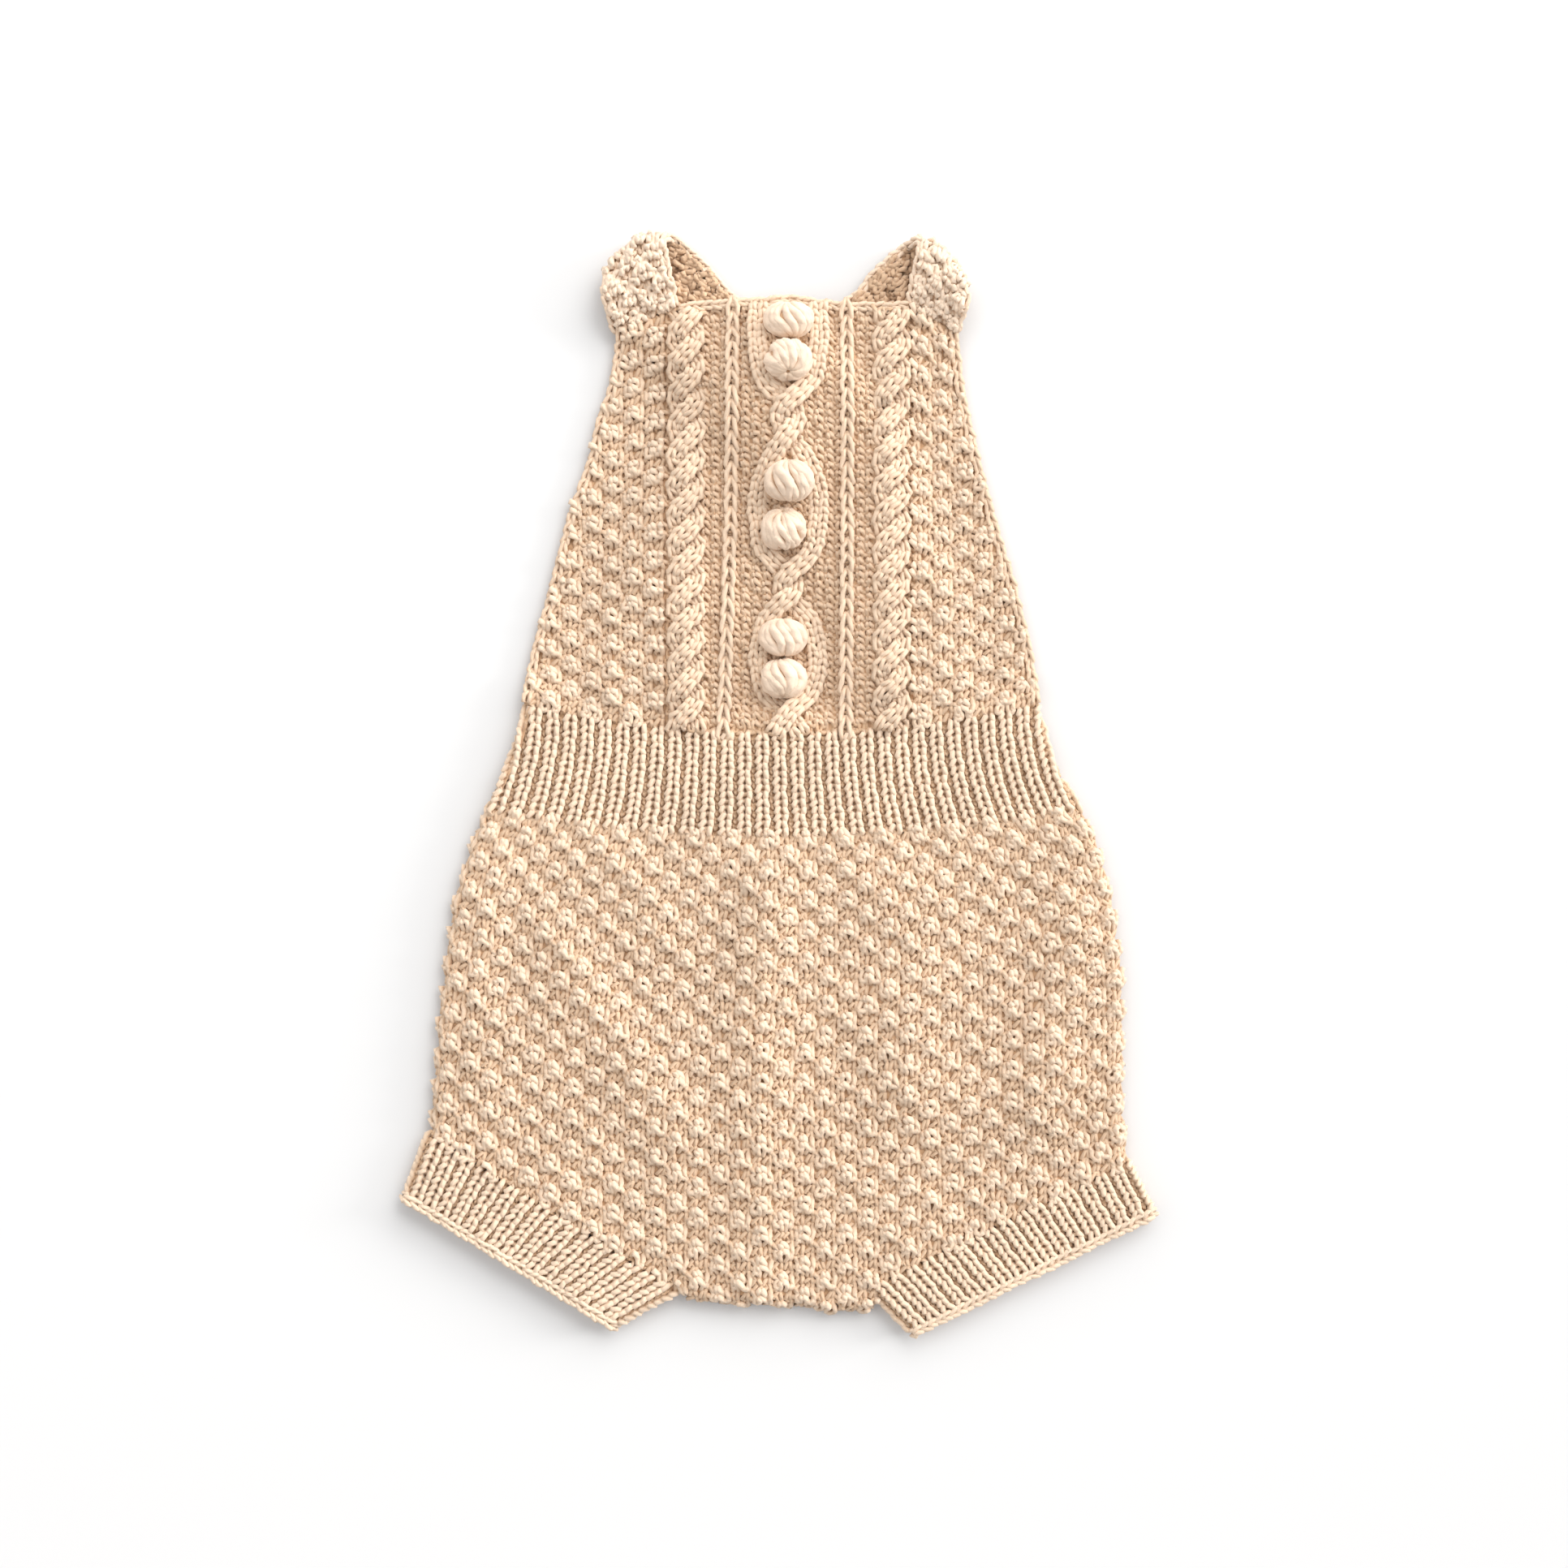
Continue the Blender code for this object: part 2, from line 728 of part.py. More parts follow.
def build_bobble(number, spot):
    """Knitted ball of upright lobes, its underside resting just over the bib."""
    x, y, width, height = spot
    mesh = bmesh.new()
    bmesh.ops.create_uvsphere(mesh, u_segments=24, v_segments=10, radius=1.0)
    for vert in mesh.verts:
        side, up, pole = vert.co
        angle = math.atan2(up, side)
        lobe = 1.0 + BOBBLE_LOBE_RISE * math.cos(BOBBLE_LOBES * angle) * (1.0 - abs(pole))
        px = x + side * lobe * width / 2
        py = y + pole * height / 2
        ground = bib_under(px, py) + WALL - GROUND_SINK
        pz = ground + 1.8 + up * lobe * (BOBBLE_RISE - 1.8)
        rest = bib_clear(px, py) + 2.0 * max(up, 0.0)
        vert.co = (px, py, max(pz, rest))
    return finish(f"bobble_{number}", "bobble", mesh)


def build_romper():
    for old in list(bpy.data.objects):
        bpy.data.objects.remove(old)
    build_shorts_back()
    build_shorts_front()
    build_cuff("cuff_left", LEFT_CUFF)
    build_cuff("cuff_right", RIGHT_CUFF)
    build_waistband()
    build_strap("strap_right", RIGHT_FRONT, RIGHT_BACK, None)
    build_strap("strap_left", LEFT_FRONT, LEFT_BACK, RIGHT_BACK)
    build_bib()
    for number, spot in enumerate(BOBBLES, start=1):
        build_bobble(number, spot)


build_romper()
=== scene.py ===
# %% [markdown]
# # A hand-knitted baby romper, laid flat
# The garment has a cabled bib with bobbles, two straps that fold over the shoulders and cross
# behind, a ribbed waistband, moss-stitch shorts and ribbed leg cuffs. The solids of the frame
# hold its forms, and this lesson dresses them with yarn. A bump map could suggest knitting from
# afar, but here each stitch is modelled as what it is: one loop of yarn that is drawn through
# the loop of the row before. So the relief is true from every side.

# %% Load the frame
import math

import bmesh
import bpy
import numpy as np
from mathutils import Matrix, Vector


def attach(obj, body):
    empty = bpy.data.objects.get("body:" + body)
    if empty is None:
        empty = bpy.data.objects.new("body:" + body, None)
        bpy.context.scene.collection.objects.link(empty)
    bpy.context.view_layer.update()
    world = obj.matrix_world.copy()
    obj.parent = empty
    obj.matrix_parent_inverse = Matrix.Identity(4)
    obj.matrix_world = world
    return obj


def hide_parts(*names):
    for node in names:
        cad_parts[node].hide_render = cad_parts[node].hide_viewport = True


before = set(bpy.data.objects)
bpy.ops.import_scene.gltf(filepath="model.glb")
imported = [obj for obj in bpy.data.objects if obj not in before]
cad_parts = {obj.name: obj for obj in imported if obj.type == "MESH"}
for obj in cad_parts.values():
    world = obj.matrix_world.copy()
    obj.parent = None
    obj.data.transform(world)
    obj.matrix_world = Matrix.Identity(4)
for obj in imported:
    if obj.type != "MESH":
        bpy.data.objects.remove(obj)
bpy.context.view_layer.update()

MM = 0.001
rng = np.random.default_rng(7)
print("solids:", sorted(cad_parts))

# %% [markdown]
# ## Outline
# A garment lies where its edges say. These tables follow the outline of the solids, in
# millimetres, so that yarn can be laid at any place on the cloth. They are read with straight
# lines between their rows, as the solids were cut.

# %% Outline tables
# Thickness of the cloth's wall, gap between pieces, and width of the turn at the sides
WALL = 3.0
GAP = 0.3
LAYER = WALL + GAP
SIDE_ROUND = 5.0
WAIST_LOW = -17.8
# Sides of the bib, waistband and shorts: (y, left edge x, right edge x)
SIDES = (
    (170.0, -55.0, 61.0), (155.0, -56.4, 61.6), (136.0, -59.6, 64.0), (125.0, -63.6, 66.4),
    (113.7, -66.0, 69.0), (91.3, -74.2, 75.0), (68.9, -79.4, 81.8), (46.5, -86.0, 87.4),
    (24.1, -89.8, 90.6), (12.9, -92.6, 93.8), (1.7, -97.4, 98.8), (-9.5, -103.2, 105.6),
    (-20.7, -108.2, 111.2), (-43.1, -114.4, 116.8), (-65.5, -117.4, 119.4),
    (-87.9, -119.8, 119.6), (-110.3, -121.3, 119.6), (-120.4, -122.0, 120.6),
    (-129.9, -122.6, 121.4),
)
# Neckline and strap seams along the top of the bib: (x, y)
BIB_TOP = (
    (-57.0, 156.0), (-35.3, 165.0), (-17.9, 166.6), (-4.0, 167.2), (2.0, 168.6), (8.0, 167.4),
    (20.0, 165.6), (32.0, 165.4), (44.5, 166.0), (61.4, 156.0),
)
# Lower edge of the crotch between the two cuffs: (x, y)
CROTCH = (
    (-35.2, -175.6), (-31.0, -180.6), (-15.0, -181.4), (0.0, -181.6), (14.0, -183.0),
    (25.0, -184.2), (31.0, -183.0), (34.4, -179.4), (35.4, -172.2),
)
# Leg cuffs, corners: (seam outer x, y, seam inner x, y, edge outer x, y, edge inner x, y)
LEFT_CUFF = (-122.6, -120.4, -34.3, -176.2, -131.3, -143.4, -57.2, -188.8)
RIGHT_CUFF = (121.9, -129.9, 29.3, -174.9, 131.0, -148.6, 45.8, -191.2)
# Soft ridges pressed into the shorts: (x, y) to (x, y), half width, height
FOLDS = (
    (-4.0, -20.0, -8.0, -170.0, 10.0, 2.7), (-78.0, -52.0, -36.0, -120.0, 10.0, 2.6),
    (-102.0, -30.0, -104.0, -100.0, 9.0, 1.8), (42.0, -40.0, 44.0, -104.0, 13.0, 2.4),
    (104.0, -44.0, 88.0, -112.0, 10.0, 2.6), (-50.0, -26.0, -46.0, -50.0, 11.0, 1.4),
)
print("tables:", len(SIDES), "side rows,", len(FOLDS), "folds")

# %% [markdown]
# A few short functions read the tables. The waistband's two edges are shallow bows, so each is
# a sum with the square of x and needs no table.

# %% Reading the outline
def lookup(rows, key, column):
    """Value of a table's column at a key, along straight lines between the rows."""
    table = np.array(sorted(rows))
    return np.interp(key, table[:, 0], table[:, column])


def between(a, b, t):
    return a + (b - a) * t


def smooth(t):
    """Goes from 0 to 1 with a soft start and end."""
    t = np.clip(t, 0.0, 1.0)
    return t * t * (3.0 - 2.0 * t)


def left_edge(y):
    return lookup(SIDES, y, 1)


def right_edge(y):
    return lookup(SIDES, y, 2)


def waist_top(x):
    return 17.2 + 10.5 * (x / 90.0) ** 2


def hip_bend(x):
    """Rise of the waistband's lower edge and of the shorts' first row towards the sides."""
    return 9.3 * (x / 105.0) ** 2


def waist_bottom(x):
    return WAIST_LOW + hip_bend(x)


print("waistband in the middle: y from", waist_bottom(0.0), "to", waist_top(0.0), "mm")

# %% [markdown]
# ## Lie of the cloth
# The bib drapes over the two straps that cross below it, and both the bib and the shorts keep a
# few soft ridges. First come the lines of the straps and of the bib's ridges.

# %% Lines of the straps and ridges
STRAP_HALF = 12.7
SHOULDER_RADIUS = 3.0
# Front of a strap from the bib to the shoulder: (outer x, outer y, inner x, inner y)
LEFT_FRONT = (
    (-57.4, 156.0, -35.4, 165.4), (-59.6, 162.6, -36.8, 172.4),
    (-61.4, 169.0, -38.6, 179.4), (-61.8, 174.6, -39.8, 185.6),
)
RIGHT_FRONT = (
    (61.4, 156.0, 44.4, 166.4), (63.0, 161.6, 45.6, 173.4),
    (65.4, 166.8, 47.0, 179.2), (65.6, 171.2, 47.8, 184.6),
)
# Middle of a strap behind the bib, and half the line across it: (x, y, half x, half y)
LEFT_BACK = (
    (-46.8, 180.5, 14.2, 5.9), (-35.0, 171.4, 11.2, 7.0), (-26.4, 162.8, 8.4, 8.0),
    (-12.4, 150.0, 9.2, 8.6), (2.5, 134.0, 10.2, 7.8), (14.5, 116.5, 11.2, 6.4),
    (25.0, 97.0, 12.0, 5.0), (34.0, 75.5, 12.5, 3.6), (41.0, 54.0, 12.8, 2.3),
    (45.6, 35.0, 13.0, 1.4), (48.0, 20.6, 13.0, 0.8),
)
RIGHT_BACK = (
    (53.3, 178.0, -12.1, 7.4), (43.0, 170.0, -9.8, 8.6), (34.6, 161.8, -7.4, 9.0),
    (18.5, 147.5, -9.2, 9.0), (3.0, 132.0, -10.0, 8.2), (-9.5, 115.5, -11.0, 6.8),
    (-20.5, 96.0, -11.9, 5.2), (-29.0, 75.0, -12.4, 3.8), (-35.5, 54.0, -12.8, 2.4),
    (-40.0, 35.0, -13.0, 1.4), (-42.0, 20.0, -13.0, 0.8),
)
# Soft ridges of the bib: (x, y) to (x, y), half width, height
RIDGES = (
    (-38.0, 110.0, -38.0, 36.0, 8.0, 1.2), (0.0, 150.0, 1.0, 44.0, 9.0, 1.6),
    (33.0, 140.0, 34.0, 40.0, 11.0, 1.4),
)
print("points on a strap's back:", len(LEFT_BACK), "and", len(RIGHT_BACK))

# %% [markdown]
# A height over the table follows from how far a place is from such a line. It is full height on
# the strap and slopes softly down beside it, as cloth does over anything that lies below.

# %% Heights of the cloth
# How far the bib takes to come down from a strap, and from the waistband's edge
STRAP_SLOPE = 16.0
SEAM_SLOPE = 14.0
FOLD_MOST = 3.0


def distance_to_segment(x, y, x0, y0, x1, y1):
    along = ((x - x0) * (x1 - x0) + (y - y0) * (y1 - y0)) / ((x1 - x0) ** 2 + (y1 - y0) ** 2)
    along = np.clip(along, 0.0, 1.0)
    return np.hypot(x - between(x0, x1, along), y - between(y0, y1, along))


def strap_support(x, y, path, margin, slope):
    """Lift, from 0 to 1, that a strap lying below gives to the cloth over it."""
    near = 1e6
    for a, b in zip(path, path[1:]):
        near = np.minimum(near, distance_to_segment(x, y, a[0], a[1], b[0], b[1]))
    return 1.0 - smooth((near - STRAP_HALF - margin) / slope)


def ridges(x, y, table):
    """Height of the soft ridges of a table at a place."""
    rise = 0.0
    for x0, y0, x1, y1, half, height in table:
        near = distance_to_segment(x, y, x0, y0, x1, y1)
        rise = rise + height * np.exp(-((near / half) ** 2))
    return rise


def bib_under(x, y):
    """Height of the underside of the bib over the table."""
    left = strap_support(x, y, LEFT_BACK, 2.6, STRAP_SLOPE)
    right = strap_support(x, y, RIGHT_BACK, 3.2, STRAP_SLOPE)
    straps = np.maximum(left, right) + left * right
    seam = 1.0 - smooth((y - waist_top(x)) / SEAM_SLOPE)
    return LAYER * np.maximum(straps, seam) + ridges(x, y, RIDGES) * (1.0 - seam)


def fold(x, y):
    """Height of the shorts' ridges, which die out at the sides and at the waistband."""
    rise = np.minimum(ridges(x, y, FOLDS), FOLD_MOST)
    from_side = np.minimum(x - left_edge(y), right_edge(y) - x)
    from_waist = waist_bottom(x) - y
    return rise * smooth((from_side - 4.0) / 12.0) * smooth(from_waist / SEAM_SLOPE)


print("bib lies at", np.round(bib_under(np.array([0.0, -50.0]), np.array([133.0, 60.0])), 2), "mm")

# %% [markdown]
# ## Places on the cloth
# Yarn is laid by two numbers: how many stitches across, and how many rows along. A place
# function turns them into a point on the middle of the cloth's wall. The direction that faces
# out of the cloth follows from two small steps, one across and one along, so the same
# stitches can lie on the flat bib, round a cuff or over a shoulder. The sides lie at an x that
# depends on y, and a row at a y that depends on x, so some places are found by turns from a
# first guess.

# %% Points on and off the cloth
def stretched(values, edges):
    """Positions between stitch edges, which go on past either end at that end's spacing."""
    count = len(edges) - 1
    inside = np.interp(values, np.arange(count + 1), edges)
    before = np.minimum(values, 0.0) * (edges[1] - edges[0])
    after = np.maximum(values - count, 0.0) * (edges[-1] - edges[-2])
    return inside + before + after


def off_cloth(place, across, along, rise, step=0.04):
    """Points at a height off the cloth, and the way out of the cloth there."""

    def spot(right, down):
        return np.stack(place(across + right, along + down), axis=-1)

    here = spot(0.0, 0.0)
    aside = spot(step, 0.0) - spot(-step, 0.0)
    onward = spot(0.0, step) - spot(0.0, -step)
    out = np.cross(onward, aside)
    out /= np.maximum(np.linalg.norm(out, axis=-1, keepdims=True), 1e-9)
    return here + out * rise[..., None], out


def bib_rows(x, share):
    """Height y of a row of the bib, a share of the way down from the neckline."""
    return between(lookup(BIB_TOP, x, 1), waist_top(x) + GAP, share)


def within_sides(share, inset, y, y_at, turns):
    """A share of the way between the sides, set in from them, at the y that y_at gives for x."""
    for _ in range(turns):
        x = between(left_edge(y) + inset, right_edge(y) - inset, share)
        y = y_at(x)
    return x, y


print("neckline in the middle: y", round(float(bib_rows(0.0, 0.0)), 1), "mm")

# %% [markdown]
# The waistband and the cuffs are flattened tubes. Their wall runs flat over the front, round a
# half circle, back below and round another. One function gives the front and how it goes round
# its ends, which is all that the yarn needs, and one gives the whole way round for the cloth.

# %% Points round a flattened tube
def flat_ring(run, first, last):
    """Middle of a flattened tube's wall, a run in millimetres from its first end on top."""
    radius = LAYER / 2
    inset = WALL / 2 + radius
    way_x, way_y = last[0] - first[0], last[1] - first[1]
    length = np.hypot(way_x, way_y)
    flat = length - 2.0 * inset
    ahead = np.clip(run, 0.0, flat)
    past = np.clip((run - ahead) / radius, -math.pi, math.pi)
    reach = (inset + ahead + radius * np.sin(past)) / length
    z = WALL / 2 + radius + radius * np.cos(past)
    return first[0] + way_x * reach, first[1] + way_y * reach, z


def whole_ring(share, first, last):
    """Middle of a flattened tube's wall, a share of the way round from its first end on top."""
    radius = LAYER / 2
    turn = math.pi * radius
    length = np.hypot(last[0] - first[0], last[1] - first[1])
    flat = length - WALL - LAYER
    run = share * 2 * (flat + turn)
    over = flat_ring(np.clip(run, 0.0, flat + turn), first, last)
    back = np.clip(run - flat - turn, 0.0, flat)
    rest = np.clip(run - 2 * flat - turn, 0.0, turn)
    reach = (WALL / 2 + radius + flat - back) / length
    under = between(first[0], last[0], reach), between(first[1], last[1], reach), WALL / 2
    end = flat_ring(rest - turn, first, last)
    is_under = (run > flat + turn) & (rest <= 0.0)
    return [np.where(is_under, u, np.where(rest > 0.0, e, o)) for u, e, o in zip(under, end, over)]


print("a tube's wall turns round at a radius of", LAYER / 2, "mm")

# %% [markdown]
# ## The stitch
# A knit stitch is a loop whose two legs lie in front and whose head and feet lie behind. A purl
# stitch is the same loop seen from the other side. What sets them apart is only how a loop
# passes through the row before it, so the lower half of a loop takes its side of the cloth from
# its own stitch, and the head takes it from the stitch of the next row. The romper is worked
# from the neck down, so the heads point to the feet.

# %% Shapes of the loops
# Half a loop, from the middle of its head to the foot:
# (aside in stitches, along in rows, out on the purl side, share that the next row decides)
PURL_LOOP = (
    (0.00, 0.72, 0.5, 1.0), (0.22, 0.58, 0.4, 1.0), (0.30, 0.20, -0.2, 0.5),
    (0.22, -0.34, 0.2, 0.0), (0.26, -0.80, 1.0, 0.0), (0.50, -1.14, 1.3, 0.0),
)
KNIT_LOOP = (
    (0.00, 0.85, 0.9, 1.0), (0.30, 0.70, 0.4, 1.0), (0.33, 0.31, -0.7, 0.3),
    (0.17, -0.31, -0.8, 0.0), (0.21, -0.70, 0.4, 0.0), (0.50, -0.85, 0.9, 0.0),
)
MOSS_KNIT = (
    (0.00, 0.90, 0.9, 1.0), (0.26, 0.72, 0.6, 1.0), (0.34, 0.32, -0.7, 0.5),
    (0.13, -0.38, -0.7, 0.0), (0.20, -0.82, 0.6, 0.0), (0.50, -1.00, 1.0, 0.0),
)
RIB_LOOP = (
    (0.00, 0.85, 0.9, 1.0), (0.26, 0.70, 0.4, 1.0), (0.33, 0.31, -0.7, 0.3),
    (0.22, -0.31, -0.8, 0.0), (0.24, -0.70, 0.4, 0.0), (0.50, -0.85, 0.9, 0.0),
)
CHAIN_LOOP = (
    (0.00, 0.92, 0.9, 1.0), (0.24, 0.80, 0.5, 1.0), (0.40, 0.40, -0.7, 0.0),
    (0.33, -0.10, -1.0, 0.0), (0.15, -0.52, -0.7, 0.0), (0.05, -0.80, 0.5, 0.0),
)
print("places round a loop:", 2 * len(KNIT_LOOP) - 1)

# %% [markdown]
# A chart says which stitches are knit and which are purl, as a knitter's chart does. All its
# stitches are worked out at once in arrays, because to go through thousands of stitches one by
# one would be slow. The ends of neighbouring loops are set to the same point, so the yarn is
# unbroken.

# %% Loops of a chart
# First and last place of a loop, and the way to the stitch that each one meets
ENDS = ((0, -1), (-1, 1))


def whole_loop(half):
    """Both halves of a loop: the side each place is on, and the numbers of the half."""
    way = np.array([-1] * (len(half) - 1) + [0] + [1] * (len(half) - 1))
    return way, np.array(half[::-1] + half[1:]).T


def neighbours(chart, rows, columns, other, down, right):
    """Values of a chart one stitch away, or the stitch's own where the chart ends."""
    r = np.clip(rows + down, 0, chart.shape[0] - 1)
    c = np.clip(columns + right, 0, chart.shape[1] - 1)
    return np.where(chart[r, c] != 0, other[r, c], other[rows, columns])


def loops(
    chart, half=KNIT_LOOP, purl=None, depth=0.65, lean=(0.0, 0.0), lift=(0.0, 0.0), narrow=0.3
):
    """Lines of the stitches of a chart, which holds 1 for knit, -1 for purl and 0 for none.

    lean is how far the sunken and the raised strands lean over, lift is how much higher the
    knit and the purl stitches lie, and narrow is how far the strands between a knit and a purl
    stitch keep back from the front. Gives how far across, how far along and how high each line
    runs, a row for each stitch.
    """
    rows, columns = np.nonzero(chart)
    way, knit_places = whole_loop(half)
    _, purl_places = whole_loop(purl or half)
    is_knit = chart[rows, columns] > 0
    places = np.where(is_knit[:, None], knit_places[:, None, :], purl_places[:, None, :])
    aside, onward, out, head = places
    for end, right in ENDS:
        beside = neighbours(chart, rows, columns, chart, 0, right) > 0
        other = np.where(beside, knit_places[1, end], purl_places[1, end])
        onward[:, end] = (onward[:, end] + other) / 2
    level = np.where(chart > 0, lift[0], lift[1])
    next_sign = neighbours(chart, rows, columns, chart, 1, 0)
    taken = head * np.where(next_sign > chart[rows, columns], 1.0, 0.5)[:, None]

    def blend(values, low):
        own = neighbours(chart, rows, columns, values, 0, 0)[:, None]
        below = neighbours(chart, rows, columns, values, 1, 0)[:, None]
        mixed = own + (below - own) * taken
        for end, right in ENDS:
            beside = neighbours(chart, rows, columns, values, 0, right)
            narrowed = narrow * np.abs(own[:, 0] - beside) * low
            mixed[:, end] = (own[:, 0] + beside) / 2 + narrowed
            mixed[:, end - right] = own[:, 0] * 0.65 + beside * 0.35 + narrowed * 0.5
        return mixed

    along = rows[:, None] + 0.5 + onward
    leaning = (lean[0] * (1.0 - out) + lean[1] * (1.0 + out)) / 2
    across = columns[:, None] + 0.5 + way * aside + leaning * onward
    rise = -depth * out * blend(chart.astype(float), 1.0) + blend(level, -1.0)
    return across, along, rise


print("a lone knit stitch is", round(float(np.ptp(loops(np.ones((1, 1), int))[1])), 2), "rows long")

# %% [markdown]
# ## Yarn round a line
# Each loop is a short tube. A curve with a round bevel would make one tube an object, and there
# are thousands. So one tube is made from a cylinder whose long edges are subdivided, an Array
# modifier repeats it, and every ring of the copies is then set square to its own line. That
# keeps all the loops in a handful of meshes with a few dozen faces a loop.

# %% One tube, and its copies
SIDES_OF_YARN = 5


def mesh_of(shape, name):
    """Mesh of a bmesh that is ready."""
    mesh = bpy.data.meshes.new(name)
    shape.to_mesh(mesh)
    shape.free()
    return mesh


def tube_template(rings, sides):
    """Mesh of one closed tube along Z with its map, and the ring and side of each vertex."""
    tube = bmesh.new()
    bmesh.ops.create_cone(
        tube, cap_ends=True, segments=sides, radius1=1.0, radius2=1.0, depth=rings - 1
    )
    long_edges = [e for e in tube.edges if abs(e.verts[0].co.z - e.verts[1].co.z) > 0.5]
    bmesh.ops.subdivide_edges(tube, edges=long_edges, cuts=rings - 2, use_grid_fill=True)
    layer = tube.loops.layers.uv.new("OFBake")
    for face in tube.faces:
        turns = [math.atan2(c.vert.co.y, c.vert.co.x) / (2 * math.pi) % 1.0 for c in face.loops]
        for corner, turned in zip(face.loops, turns):
            if max(turns) - min(turns) > 0.5 and turned < 0.4:
                turned += 1.0
            share = corner.vert.co.z / (rings - 1) + 0.5
            corner[layer].uv = (share, 0.0 if len(face.verts) > 4 else turned)
    mesh = mesh_of(tube, "tube_template")
    spots = np.empty(len(mesh.vertices) * 3)
    mesh.vertices.foreach_get("co", spots)
    spots = spots.reshape(-1, 3)
    ring = np.rint(spots[:, 2] + (rings - 1) / 2).astype(int)
    side = np.rint(np.arctan2(spots[:, 1], spots[:, 0]) / (2 * math.pi) * sides).astype(int)
    return mesh, ring, side % sides


def repeated(template, count):
    """Mesh of that many copies of a template, one after another."""
    holder = bpy.data.objects.new("holder", template)
    bpy.context.scene.collection.objects.link(holder)
    copies = holder.modifiers.new("copies", "ARRAY")
    copies.count = count
    copies.use_relative_offset = False
    graph = bpy.context.evaluated_depsgraph_get()
    mesh = bpy.data.meshes.new_from_object(holder.evaluated_get(graph))
    bpy.data.objects.remove(holder)
    return mesh


print("a tube ring has", SIDES_OF_YARN, "sides")

# %% [markdown]
# The yarn keeps two numbers for its wool. The height is how far a place stands out of the
# cloth, because the wool is painted paler where a loop stands up and painted darker where it
# sinks, a painted shade in its recesses. The strand is one random number for each loop,
# because no two stretches of hand-spun yarn have quite the same tone.

# %% Tubes laid along lines
def finished(name, mesh, material):
    """A smooth-shaded piece in the scene, which rides with the garment."""
    mesh.name = name
    mesh.polygons.foreach_set("use_smooth", [True] * len(mesh.polygons))
    mesh.materials.clear()
    mesh.materials.append(material)
    piece = bpy.data.objects.new(name, mesh)
    bpy.context.scene.collection.objects.link(piece)
    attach(piece, "root")
    return piece


def map_cells(mesh, count):
    """Puts each copy's map in its own cell, and keeps a second map along the yarn."""
    layer = mesh.uv_layers["OFBake"]
    corners = np.empty(len(mesh.loops) * 2, np.float32)
    layer.data.foreach_get("uv", corners)
    corners = corners.reshape(count, -1, 2)
    cells = math.ceil(math.sqrt(count))
    order = np.arange(count)
    spot = np.stack((order % cells, order // cells), axis=-1)[:, None, :]
    packed = (spot + 0.05 + 0.9 * corners) / cells
    along = mesh.uv_layers.new(name="along_yarn")
    along.data.foreach_set("uv", corners.reshape(-1))
    layer.data.foreach_set("uv", packed.reshape(-1).astype(np.float32))
    mesh.uv_layers.active = layer


def note(mesh, name, values):
    """Keeps a number for each vertex of a mesh."""
    attribute = mesh.attributes.new(name, "FLOAT", "POINT")
    attribute.data.foreach_set("value", values.reshape(-1).astype(np.float32))


def yarn(name, lines, outs, heights, radius, material, sides=SIDES_OF_YARN):
    """A piece of yarn tubes along lines, in millimetres, with the way out of the cloth."""
    count, rings = lines.shape[:2]
    template, ring, side = tube_template(rings, sides)
    mesh = repeated(template, count)
    ahead = np.gradient(lines, axis=1)
    ahead /= np.maximum(np.linalg.norm(ahead, axis=-1, keepdims=True), 1e-9)
    aside = np.cross(outs, ahead)
    aside /= np.maximum(np.linalg.norm(aside, axis=-1, keepdims=True), 1e-9)
    upward = np.cross(ahead, aside)
    angle = 2 * math.pi * side / sides
    thick = np.broadcast_to(radius, (count, rings))[:, ring, None]
    turned = np.cos(angle)[None, :, None] * aside[:, ring]
    turned = turned + np.sin(angle)[None, :, None] * upward[:, ring]
    spots = lines[:, ring] + thick * turned
    mesh.vertices.foreach_set("co", (spots * MM).reshape(-1).astype(np.float32))
    # The side of a strand that faces out of the cloth counts as higher, so each strand is painted
    # paler on top, a painted highlight.
    facing = (turned * outs[:, ring]).sum(-1)
    note(mesh, "height", heights[:, ring] + thick[..., 0] * facing)
    note(mesh, "strand", np.repeat(rng.uniform(-1.0, 1.0, count), len(ring)))
    map_cells(mesh, count)
    return finished(name, mesh, material)


print("a loop of", 2 * len(KNIT_LOOP) - 1, "rings is laid square to its line")

# %% [markdown]
# ## Cloth under the yarn
# Below the loops of each piece lies a thin sheet in the middle of its wall. It closes the
# holes between the loops as the hidden halves of the yarn do. It starts as a grid whose faces
# are extruded once, so that it has two sides and a rim, and both sides are then set off the
# middle of the wall. On a tube the rim's faces at the two ends are deleted and the ends are
# merged. No cloth simulation is needed, because the garment lies flat and its outline and
# ridges are known.

# %% A thin sheet, flat or closed to a ring
SEAM_MEETS = 0.0002


def end_faces(sheet, inner):
    """Faces of a sheet's rim at its left and right ends."""
    found = []
    for face in sheet.faces:
        ends = {round(vert.co.x, 3) for vert in face.verts}
        both_sides = len({vert in inner for vert in face.verts}) == 2
        if both_sides and ends in ({-0.5}, {0.5}):
            found.append(face)
    return found


